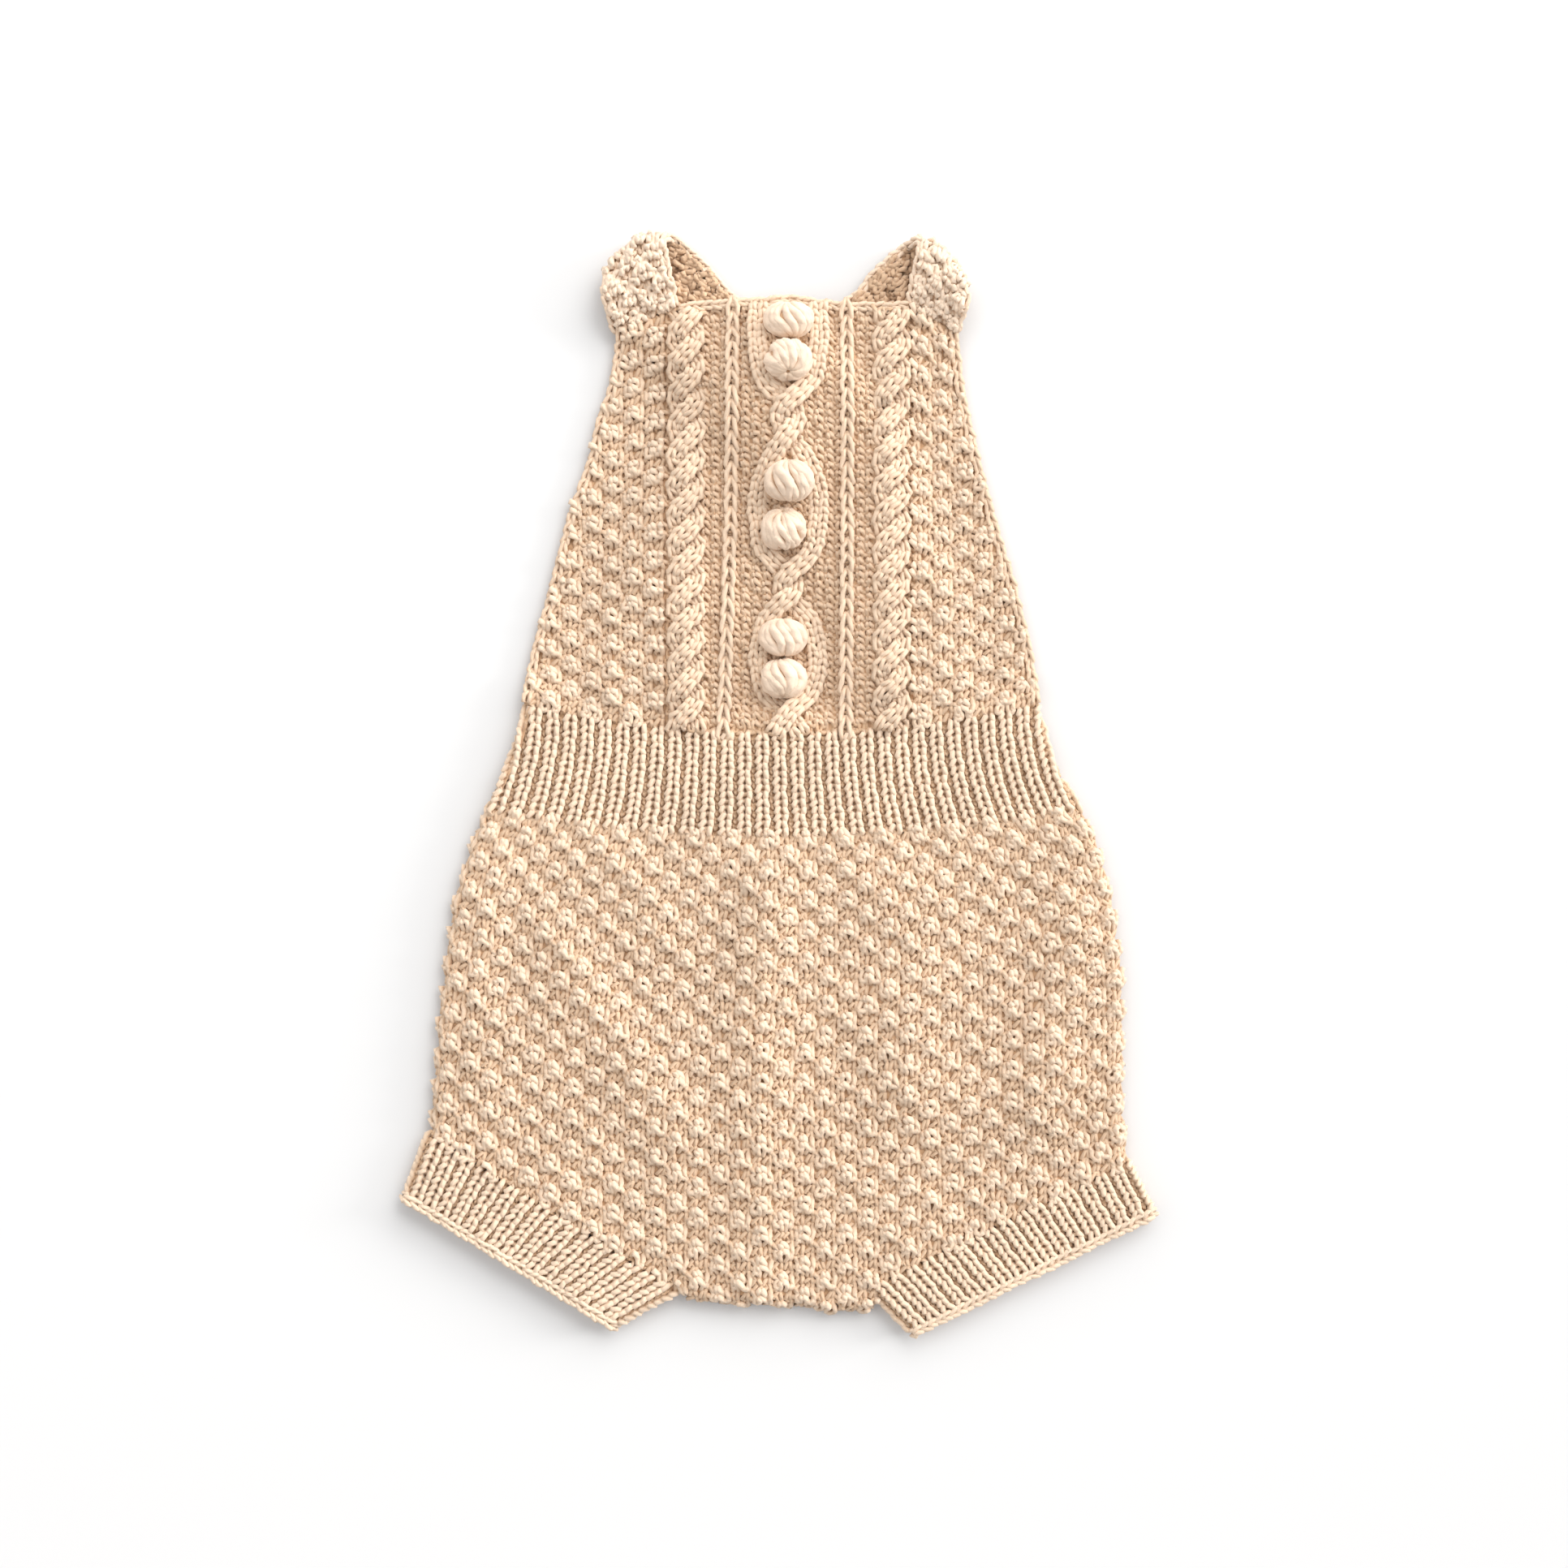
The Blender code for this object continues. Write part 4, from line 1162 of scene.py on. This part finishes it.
# %% Rib
RIB_SHAPE = {"half": RIB_LOOP, "lift": (0.35, -0.65), "lean": (-0.14, 0.0), "depth": 0.6}


def rib_edges(ribs, knit_share, spare=1):
    """Edges of knit and purl columns over a width of 1, with spare ribs at both ends."""
    steps = np.arange(-2 * spare, 2 * ribs + 2 * spare + 1)
    return (steps // 2 + (steps % 2) * knit_share) / ribs


def rib_chart(rows, ribs, spare):
    """Knit and purl columns in turn, with the spare ribs at both ends."""
    chart = np.ones((rows, 2 * ribs + 4 * spare), int)
    chart[:, 1::2] = -1
    return chart


print("edges of one rib:", np.round(rib_edges(1, 0.79, 0), 2))

# %% [markdown]
# The waistband is one ring, flattened, so its front turns over at both sides. It is narrower at
# its top. Its ribs hang almost straight down, so at the lower rows a few more of them come round
# from the sides, and spare ribs beyond both ends of the front are there for that.

# %% Waistband: stitches
WAIST_RIBS = 31
WAIST_ROWS = 14
# Width of all ribs at the first row and at the last, in millimetres
WAIST_WIDE = (186.0, 204.0)
# Ribs beyond either side, and how far round the side, in millimetres, they are still made
WAIST_SPARE = 5
TUCKED = 5.0
# The front layer lies this much higher than a flat tube's
FRONT_LIFT = 0.3
# First guess of the y of the waistband's top and foot
WAIST_GUESS = (27.0, -9.0)


def waist_run(across, along, y):
    """Way over the front from its left end, the front's flat width and its ends, at a y."""
    first, last = (left_edge(y), 0.0), (right_edge(y), 0.0)
    flat = last[0] - first[0] - 2 * (WALL / 2 + LAYER / 2)
    wide = between(*WAIST_WIDE, np.clip(along / WAIST_ROWS, 0.0, 1.0) ** 2)
    share = stretched(across, rib_edges(WAIST_RIBS, 0.79, WAIST_SPARE))
    return (share - 0.5) * wide + flat / 2, flat, first, last


def place_waist(across, along):
    y = between(*WAIST_GUESS, along / WAIST_ROWS)
    for _ in range(5):
        run, flat, first, last = waist_run(across, along, y)
        reach = math.pi * LAYER / 2
        x, _, z = flat_ring(np.clip(run, -reach, flat + reach), first, last)
        y = between(waist_top(x), waist_bottom(x), along / WAIST_ROWS)
    return x, y, z + FRONT_LIFT


chart = rib_chart(WAIST_ROWS, WAIST_RIBS, WAIST_SPARE)
r, c = np.indices(chart.shape)
x, y, _ = place_waist(c + 0.5, r + 0.5)
run, flat, _, _ = waist_run(c + 0.5, r + 0.5, y)
chart[(run < -TUCKED) | (run > flat + TUCKED)] = 0
waist_loops = batch(place_waist, chart, **RIB_SHAPE)
on_left = waist_loops[0][:, 5, 0] < 0.0
waist_pieces = [
    knitted("waist_yarn_left", chosen(waist_loops, on_left), rib_wool),
    knitted("waist_yarn_right", chosen(waist_loops, ~on_left), rib_wool),
]

# %% Waistband: cloth
def place_waist_ring(across, along):
    """Once round the waistband: a share of the way round, and a share down."""
    y = between(*WAIST_GUESS, along)
    for _ in range(5):
        x, _, z = whole_ring(across, (left_edge(y), 0.0), (right_edge(y), 0.0))
        y = between(waist_top(x), waist_bottom(x), along)
    return x, y, z + FRONT_LIFT * (z > LAYER)


waist_cloth = cloth("waist_cloth", place_waist_ring, (180, 10), around=True)
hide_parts("waistband")
print("waistband's cloth has", len(waist_cloth.data.polygons), "faces")

# %% [markdown]
# ## Shorts
# The front of the shorts is moss stitch from the waistband to the legs. Its rows follow the
# lower edge of the waistband, its columns spread a little towards the hips, and at the sides
# and the crotch the cloth turns over to the table. The back is hidden below, so it is plain
# cloth with the same stitch as bump.

# %% Shorts: places
SHORTS_COLUMNS = 64
SHORTS_ROWS = 64
# Stitches that turn down at each side, how far out and how high the turn is, its radius, and
# the angle at which it ends
TURN = 1.5
TURN_REACH = 3.5
TURN_TALL = LAYER + MIDDLE - 0.3
TURN_RADIUS = 4.2
TURN_MOST = 1.35
FOOT = (LEFT_CUFF[:2], *CROTCH, RIGHT_CUFF[:2])
# First guess of the y of the shorts' top and foot, and height of the middle of their back
SHORTS_GUESS = (-12.0, -150.0)
BACK_MIDDLE = 1.35


def foot(x):
    """Lower boundary of the shorts: leg seam, crotch and leg seam."""
    return lookup(FOOT, x, 1)


def in_crotch(x):
    return smooth((x - CROTCH[0][0]) / 4.0) * smooth((CROTCH[-1][0] - x) / 4.0)


def turned_down(stitches):
    """A share across the flat front, and the angle of the stitches that turn down at a side."""
    flat = np.clip(stitches - TURN, 0.0, SHORTS_COLUMNS)
    past = (stitches - TURN - flat) * STITCH / TURN_RADIUS
    return flat / SHORTS_COLUMNS, np.clip(past, -TURN_MOST, TURN_MOST)


def shorts_row(x, along):
    """Height y of a row. Lower rows bend less."""
    return WAIST_LOW + hip_bend(x) * (1.0 - 0.4 * along / SHORTS_ROWS) - GAP - ROW * along


def shorts_part(x, share, at_legs, at_crotch):
    """Height y of a share of the way down, which ends a little over the leg seams and crotch."""
    last = foot(x) + between(at_legs, at_crotch, in_crotch(x))
    return between(waist_bottom(x) - GAP - 0.5, last, share)


def place_shorts(across, along):
    """Front of the shorts: stitches across, the first and last ones turned down, and rows."""
    flat, side = turned_down(across)
    start = -18.0 - ROW * along
    x, y = within_sides(flat, SIDE_ROUND, start, lambda x: shorts_row(x, along), 6)
    below = (foot(x) + SIDE_ROUND - y) / TURN_RADIUS
    below = np.clip(below, 0.0, TURN_MOST) * in_crotch(x)
    tall = (TURN_TALL + fold(x, y) * np.cos(side)) * np.cos(side) * np.cos(below)
    turned_y = foot(x) + SIDE_ROUND - TURN_REACH * np.sin(below)
    y = np.where(below > 0.0, turned_y, y)
    return x + TURN_REACH * np.sin(side), y, tall + FRONT_LIFT


def place_shorts_cloth(across, along):
    """Front of the shorts: a share across, turned down at both sides, and a share down."""
    flat, side = turned_down(across * (SHORTS_COLUMNS + 2 * TURN))
    start = between(*SHORTS_GUESS, along)
    x, y = within_sides(flat, SIDE_ROUND, start, lambda x: shorts_part(x, along, 1.0, 2.2), 8)
    below = smooth((foot(x) + SIDE_ROUND - y) / 4.0) * in_crotch(x)
    tall = (TURN_TALL + fold(x, y)) * np.cos(side) * (1.0 - 0.6 * below)
    return x + TURN_REACH * np.sin(side), y, tall + FRONT_LIFT


def place_shorts_back(across, along):
    inset = SIDE_ROUND - 1.0
    start = between(*SHORTS_GUESS, along)
    x, y = within_sides(across, inset, start, lambda x: shorts_part(x, along, 0.6, inset), 8)
    return x, y, np.full_like(x, BACK_MIDDLE)


print("shorts:", SHORTS_COLUMNS, "stitches across the flat front and", SHORTS_ROWS, "rows")

# %% Shorts: stitches and cloths
# The yarn of the front is made as three pieces, parted at these x
PARTED_AT = (-38.0, 38.0)
columns = round(SHORTS_COLUMNS + 2 * TURN)
chart = moss(SHORTS_ROWS, columns, shift=1)
r, c = np.indices(chart.shape)
x, _, _ = place_shorts(c + 0.5, r + 0.5)
stop = foot(x) + between(0.6, -0.6, in_crotch(x))
chart[shorts_row(x, r + 0.5) < stop] = 0
shorts_loops = batch(place_shorts, chart, **MOSS_SHAPE)
third = np.digitize(shorts_loops[0][:, 5, 0], PARTED_AT)
shorts_pieces = [
    knitted(f"shorts_yarn_{name}", chosen(shorts_loops, third == k), body_wool)
    for k, name in enumerate(("left", "middle", "right"))
]
shorts_cloth = cloth("shorts_front_cloth", place_shorts_cloth, (80, 52))
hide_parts("shorts_front")
shorts_back = cloth("shorts_back_cloth", place_shorts_back, (48, 32), 2.0, 0.0)
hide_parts("shorts_back")

# %% [markdown]
# ## Leg cuffs
# The cuffs are picked up along the slanted ends of the legs and worked outwards in single rib,
# then bound off. The bind-off is a chain of loops that lies along the edge, once on the front
# layer and once on the layer below.

# %% Cuffs
CUFF_RIBS = 16
CUFF_ROWS = 8
# Shares of the way to the edge: how far the ribs go, and where the bind-off lies
CUFF_RIB_SHARE = 0.88
CHAIN_PLACE = 0.93
# How far round either end the bind-off goes, and the width and length of its stitches
CHAIN_TUCK = 3.6
BOUND_OFF = (3.1, 2.75)


def cuff(side, corners):
    def ends(share):
        """Left and right end of the tube, a share of the way from its seam to its edge."""
        line = [between(seam, edge, share) for seam, edge in zip(corners[:4], corners[4:])]
        first, last = line[:2], line[2:]
        return (first, last) if corners[0] < corners[2] else (last, first)

    def place(across, along):
        first, last = ends(along / CUFF_ROWS * CUFF_RIB_SHARE - 0.02)
        flat = np.hypot(last[0] - first[0], last[1] - first[1]) - WALL - LAYER
        x, y, z = flat_ring(stretched(across, rib_edges(CUFF_RIBS, 0.85)) * flat, first, last)
        return x, y, z + FRONT_LIFT

    def ring(across, along):
        return whole_ring(across, *ends(between(0.02, 0.97, along)))

    rib = batch(place, rib_chart(CUFF_ROWS, CUFF_RIBS, 1), **RIB_SHAPE)
    first, last = ends(CHAIN_PLACE)
    flat = math.hypot(last[0] - first[0], last[1] - first[1]) - WALL - LAYER
    x, y, z = flat_ring(np.linspace(-CHAIN_TUCK, flat + CHAIN_TUCK, 120), first, last)
    top = edge_chain((x, y, z), *BOUND_OFF, lift=0.8, radius=0.72)
    below = np.full_like(z, WALL / 2)
    under = edge_chain((x, y, below), *BOUND_OFF, lift=-0.1, radius=0.72)
    piece = knitted(f"cuff_yarn_{side}", joined(rib, top, under), rib_wool)
    inside = cloth(f"cuff_cloth_{side}", ring, (110, 8), around=True)
    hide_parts(f"cuff_{side}")
    return inside, piece


cuff_left = cuff("left", LEFT_CUFF)
cuff_right = cuff("right", RIGHT_CUFF)

# %% [markdown]
# ## Straps
# Each strap is a strip that goes up from a corner of the bib, folds over the shoulder and runs
# down behind the bib to the other side of the waistband. Its places are read from rows of two
# points along the middle of its wall: one row after another on the front, round the half turn
# of the fold, and down the back.

# %% Straps: rows of points
# Rows of points on the front, steps of the half turn, and steps between two lines of the back
FRONT_ROWS = 10
TURN_STEPS = 8
BACK_STEPS = 5
# Rows that the front takes to rise to the height of the fold
RISING_ROWS = 6
# Room beside the lower strap and the slope down from it, where the upper strap crosses it
CROSSED = (1.6, 7.0)


def front_rows(front):
    """From the bib's cloth up to the top of the fold."""
    rows = []
    for k in range(FRONT_ROWS):
        t = k / (FRONT_ROWS - 1) * (len(front) - 1)
        low = min(int(t), len(front) - 2)
        line = between(np.array(front[low]), np.array(front[low + 1]), t - low)
        x, y = line[0::2], line[1::2]
        z = between(MIDDLE + bib_under(x, y), MIDDLE + 2 * SHOULDER_RADIUS, smooth(k / RISING_ROWS))
        rows.append(np.stack((x, y, z), axis=-1))
    return rows


def fold_rows(start, end):
    """The half turn from the front's last line to the back's first one, which lies under it."""
    outer_x, outer_y, inner_x, inner_y = start
    length = math.hypot(inner_x - outer_x, inner_y - outer_y)
    away_x = (inner_y - outer_y) / length * (1.0 if outer_x > inner_x else -1.0)
    away_y = abs(inner_x - outer_x) / length
    rows = []
    for k in range(1, TURN_STEPS):
        turn = math.pi * k / TURN_STEPS
        line = between(np.array(start), end, k / TURN_STEPS)
        reach = SHOULDER_RADIUS * math.sin(turn)
        x, y = line[0::2] + away_x * reach, line[1::2] + away_y * reach
        z = MIDDLE + SHOULDER_RADIUS * (1.0 + math.cos(turn))
        rows.append(np.stack((x, y, np.full(2, z)), axis=-1))
    return rows


def back_rows(back, other):
    """The back lies on the table, or over the other strap where it crosses one."""
    rows = []
    for low, high in zip(back, back[1:]):
        for k in range(BACK_STEPS):
            x, y, half_x, half_y = between(np.array(low), np.array(high), k / BACK_STEPS)
            x, y = np.array((x - half_x, x + half_x)), np.array((y - half_y, y + half_y))
            y = np.maximum(y, waist_top(x) + GAP)
            lift = LAYER * strap_support(x, y, other, *CROSSED) if other else np.zeros(2)
            rows.append(np.stack((x, y, MIDDLE + lift), axis=-1))
    return rows


def strap_rows(front, back, other):
    x, y, half_x, half_y = back[0]
    under = np.array((x - half_x, y - half_y, x + half_x, y + half_y))
    return np.array(front_rows(front) + fold_rows(front[-1], under) + back_rows(back, other))


print("rows of points from the bib to the back:", FRONT_ROWS + TURN_STEPS - 1)

# %% [markdown]
# The rows become a surface that is read by a share across and a run along the middle. Its fold
# bulges out a little, as a soft roll does, and the outer corner of the fold is drawn in.

# %% Straps: surface
# Rows of points where the fold starts, at its middle, and where the front's yarn ends
FOLD_START = FRONT_ROWS - 1
FOLD_MIDDLE = FOLD_START + TURN_STEPS // 2
FOLD_END = FOLD_MIDDLE + 2
# Run over which the fold bulges, and how far its outer corner is drawn back and aside
FOLD_RUN = 8.0
CORNER_BACK = 2.2
CORNER_ASIDE = 2.6


def strap_surface(side, rows, bulge):
    """Function that gives the point at a share across and a run along, and the rows' runs."""
    over_x, over_y, _ = rows[FOLD_START + 2].mean(axis=0) - rows[FOLD_START].mean(axis=0)
    ahead = np.array((over_x, over_y)) / math.hypot(over_x, over_y)
    runs = runs_along(rows.mean(axis=1))
    order = np.arange(len(rows))

    def point(share, run):
        spot = np.interp(run, runs, order)
        ends = [[np.interp(spot, order, rows[:, e, k]) for k in range(3)] for e in (0, 1)]
        x, y, z = (between(a, b, share) for a, b in zip(*ends))
        at_fold = np.exp(-(((run - runs[FOLD_MIDDLE]) / FOLD_RUN) ** 2))
        outer = 1.0 - share if side == "left" else share
        outer = at_fold * np.clip(1.0 - outer, 0.0, 1.0) ** 2
        bow = at_fold * np.sin(math.pi * np.clip(share, 0, 1)) * bulge - CORNER_BACK * outer
        aside = CORNER_ASIDE * outer * (1.0 if side == "left" else -1.0)
        return x + ahead[0] * bow + aside * ahead[1], y + ahead[1] * bow, z

    return point, runs


print("the front's yarn ends at row", FOLD_END, "of a strap's rows of points")

# %% [markdown]
# The strap's nubs are purl loops, which stand in shallow blocks. Only what shows carries yarn:
# the front and the fold, and the short part that peeps out over the neckline. That part shows
# its other side and lies in the bib's shade, so it is a piece of its own in a darker wool. A
# chain runs along both edges.

# %% Straps: yarn and cloth
STRAP_COLUMNS = 8
STRAP_ROW = 2.4
STRAP_SHAPE = {
    "half": PURL_LOOP, "lift": (0.0, 0.5), "radius": 0.86, "first_row": -0.4, "loose": 0.34,
}
# How far the two kinds of blocks are sunk
HOLLOWS = (-0.3, 0.75)
# Shares across at which the stitches begin and end, and the edge chains' width and length
STRAP_EDGES = (0.04, 0.96)
STRAP_CHAIN = (2.8, 3.2)
# How far below the neckline the part behind still carries yarn, and the y where the chains end
PEEPS_OUT = 7.0
CHAINS_END = 150.0


def strap(side, front, back, other, bulge):
    """Cloth of a strap, and its yarn: a piece for what faces up and one for what is behind."""
    rows = strap_rows(front, back, other)
    if side == "left":
        rows = rows[:, ::-1]
    point, runs = strap_surface(side, rows, bulge)

    def place(across, along):
        return point(between(*STRAP_EDGES, across / STRAP_COLUMNS), along * STRAP_ROW)

    def place_behind(across, along):
        return place(STRAP_COLUMNS - across, along)

    def strip(across, along):
        return point(between(0.02, 0.98, across), along * runs[-1])

    r, c = np.indices((int(runs[-1] / STRAP_ROW), STRAP_COLUMNS))
    hollow = np.where((r // 2 + c // 2) % 2 == 0, *HOLLOWS)
    x, y, _ = place(c + 0.5, r + 0.5)
    is_behind = r > runs[FOLD_END] / STRAP_ROW
    in_view = is_behind & (y > lookup(BIB_TOP, x, 1) - PEEPS_OUT)
    front_loops = batch(place, np.where(is_behind, 0, -1), hollow[~is_behind], **STRAP_SHAPE)
    hollow, in_view = hollow[:, ::-1], in_view[:, ::-1]
    back_loops = batch(place_behind, np.where(in_view, -1, 0), hollow[in_view], **STRAP_SHAPE)
    last = np.nonzero(rows[:, :, 1].mean(axis=1) > CHAINS_END)[0].max()
    steps = np.linspace(0.0, runs[last], 60)
    edges = [
        edge_chain(point(np.full(60, share), steps), *STRAP_CHAIN, lift=0.3)
        for share in STRAP_EDGES
    ]
    piece = knitted(f"strap_yarn_{side}", joined(front_loops, *edges), strap_highlight_wool)
    behind = knitted(f"strap_back_yarn_{side}", back_loops, shade_wool)
    inside = cloth(f"strap_cloth_{side}", strip, (8, 90), 0.5, 0.0)
    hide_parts(f"strap_{side}")
    print("strap", side, "is", round(float(runs[-1]), 1), "mm long")
    return inside, [piece, behind]


strap_right = strap("right", RIGHT_FRONT, RIGHT_BACK, None, 3.2)
strap_left = strap("left", LEFT_FRONT, LEFT_BACK, RIGHT_BACK, 4.4)

# %% [markdown]
# ## The cloths
# Each cloth is knitted to a size that follows from its stitches and rows, and none of them is a
# plain rectangle but the straps. The waistband and the cuffs are tubes.

# %% [markdown]
# ## Camera, table and light
# The romper is seen from straight above, so that its panels show their cut. A lens of 50 mm on
# a frame of 36 mm looks down from about 0.76 m, and the garment fills two thirds of the height.

# %% Camera
lens = bpy.data.cameras.new("view")
lens.lens = 50.0
lens.sensor_width = 36.0
camera = bpy.data.objects.new("view", lens)
camera.location = (0.0014, 0.0, 0.757)
bpy.context.scene.collection.objects.link(camera)
bpy.context.scene.camera = camera
print("camera is", camera.location.z, "m over the table")

# %% [markdown]
# The table is matt and almost white, so the romper's soft shadows stay faint.

# %% Table
TABLE_HALF = 3.0
# The lowest yarn sinks this far under the cloth's underside, so the table lies as much lower
TABLE_DROP = 0.0003
plane = bmesh.new()
bmesh.ops.create_grid(plane, x_segments=1, y_segments=1, size=TABLE_HALF)
floor = bpy.data.objects.new("table", mesh_of(plane, "table"))
bpy.context.scene.collection.objects.link(floor)
floor.location.z = -TABLE_DROP
paper = bpy.data.materials.new("white_table")
paper.use_nodes = True
paper_shader = paper.node_tree.nodes["Principled BSDF"]
set_inputs(paper_shader, {"Base Color": (0.745, 0.752, 0.765, 1.0), "Roughness": 0.9})
floor.data.materials.append(paper)
print("table:", [round(v, 2) for v in floor.dimensions], "m")

# %% [markdown]
# Four lights and a pale sky light it. The key comes from the upper right and is as wide as a
# window, so each stitch is shaded on its lower left and the shadows have no hard edge. A lower
# light from the right brings out the folds and draws the shadow on the left out a little. A
# weak fill comes from the left, and a lamp close over the upper end brightens the bib a little
# more than the legs. The view transform is Standard, so the white of the table stays white.

# %% Lights
WARM = (1.0, 0.985, 0.96)


def lamp(name, kind, spot, aim, size, strength):
    """A soft light. Its size is an angle for a SUN, which is far off, and metres for an AREA."""
    light = bpy.data.lights.new(name, kind)
    setattr(light, "angle" if kind == "SUN" else "size", size)
    light.energy = strength
    light.color = WARM
    holder = bpy.data.objects.new(name, light)
    bpy.context.scene.collection.objects.link(holder)
    holder.location = spot
    holder.rotation_euler = (Vector(spot) - Vector(aim)).to_track_quat("Z", "Y").to_euler()


CENTRE = (0.0, 0.0, 0.0)
lamp("key", "SUN", (1.0, 1.12, 1.0), CENTRE, 0.9, 2.08)
lamp("low", "SUN", (1.3, 0.30, 0.32), CENTRE, 0.3, 1.75)
lamp("fill", "SUN", (-1.3, 0.3, 0.9), CENTRE, 1.0, 0.45)
lamp("window", "AREA", (0.0, 0.80, 0.55), (0.0, 0.10, 0.0), 0.8, 3.0)
world = bpy.data.worlds.new("studio")
bpy.context.scene.world = world
world.use_nodes = True
sky = world.node_tree.nodes["Background"]
set_inputs(sky, {"Color": (1.0, 0.985, 0.97, 1.0), "Strength": 0.675})
bpy.context.scene.view_settings.view_transform = "Standard"
print("lights:", len(bpy.data.lights))
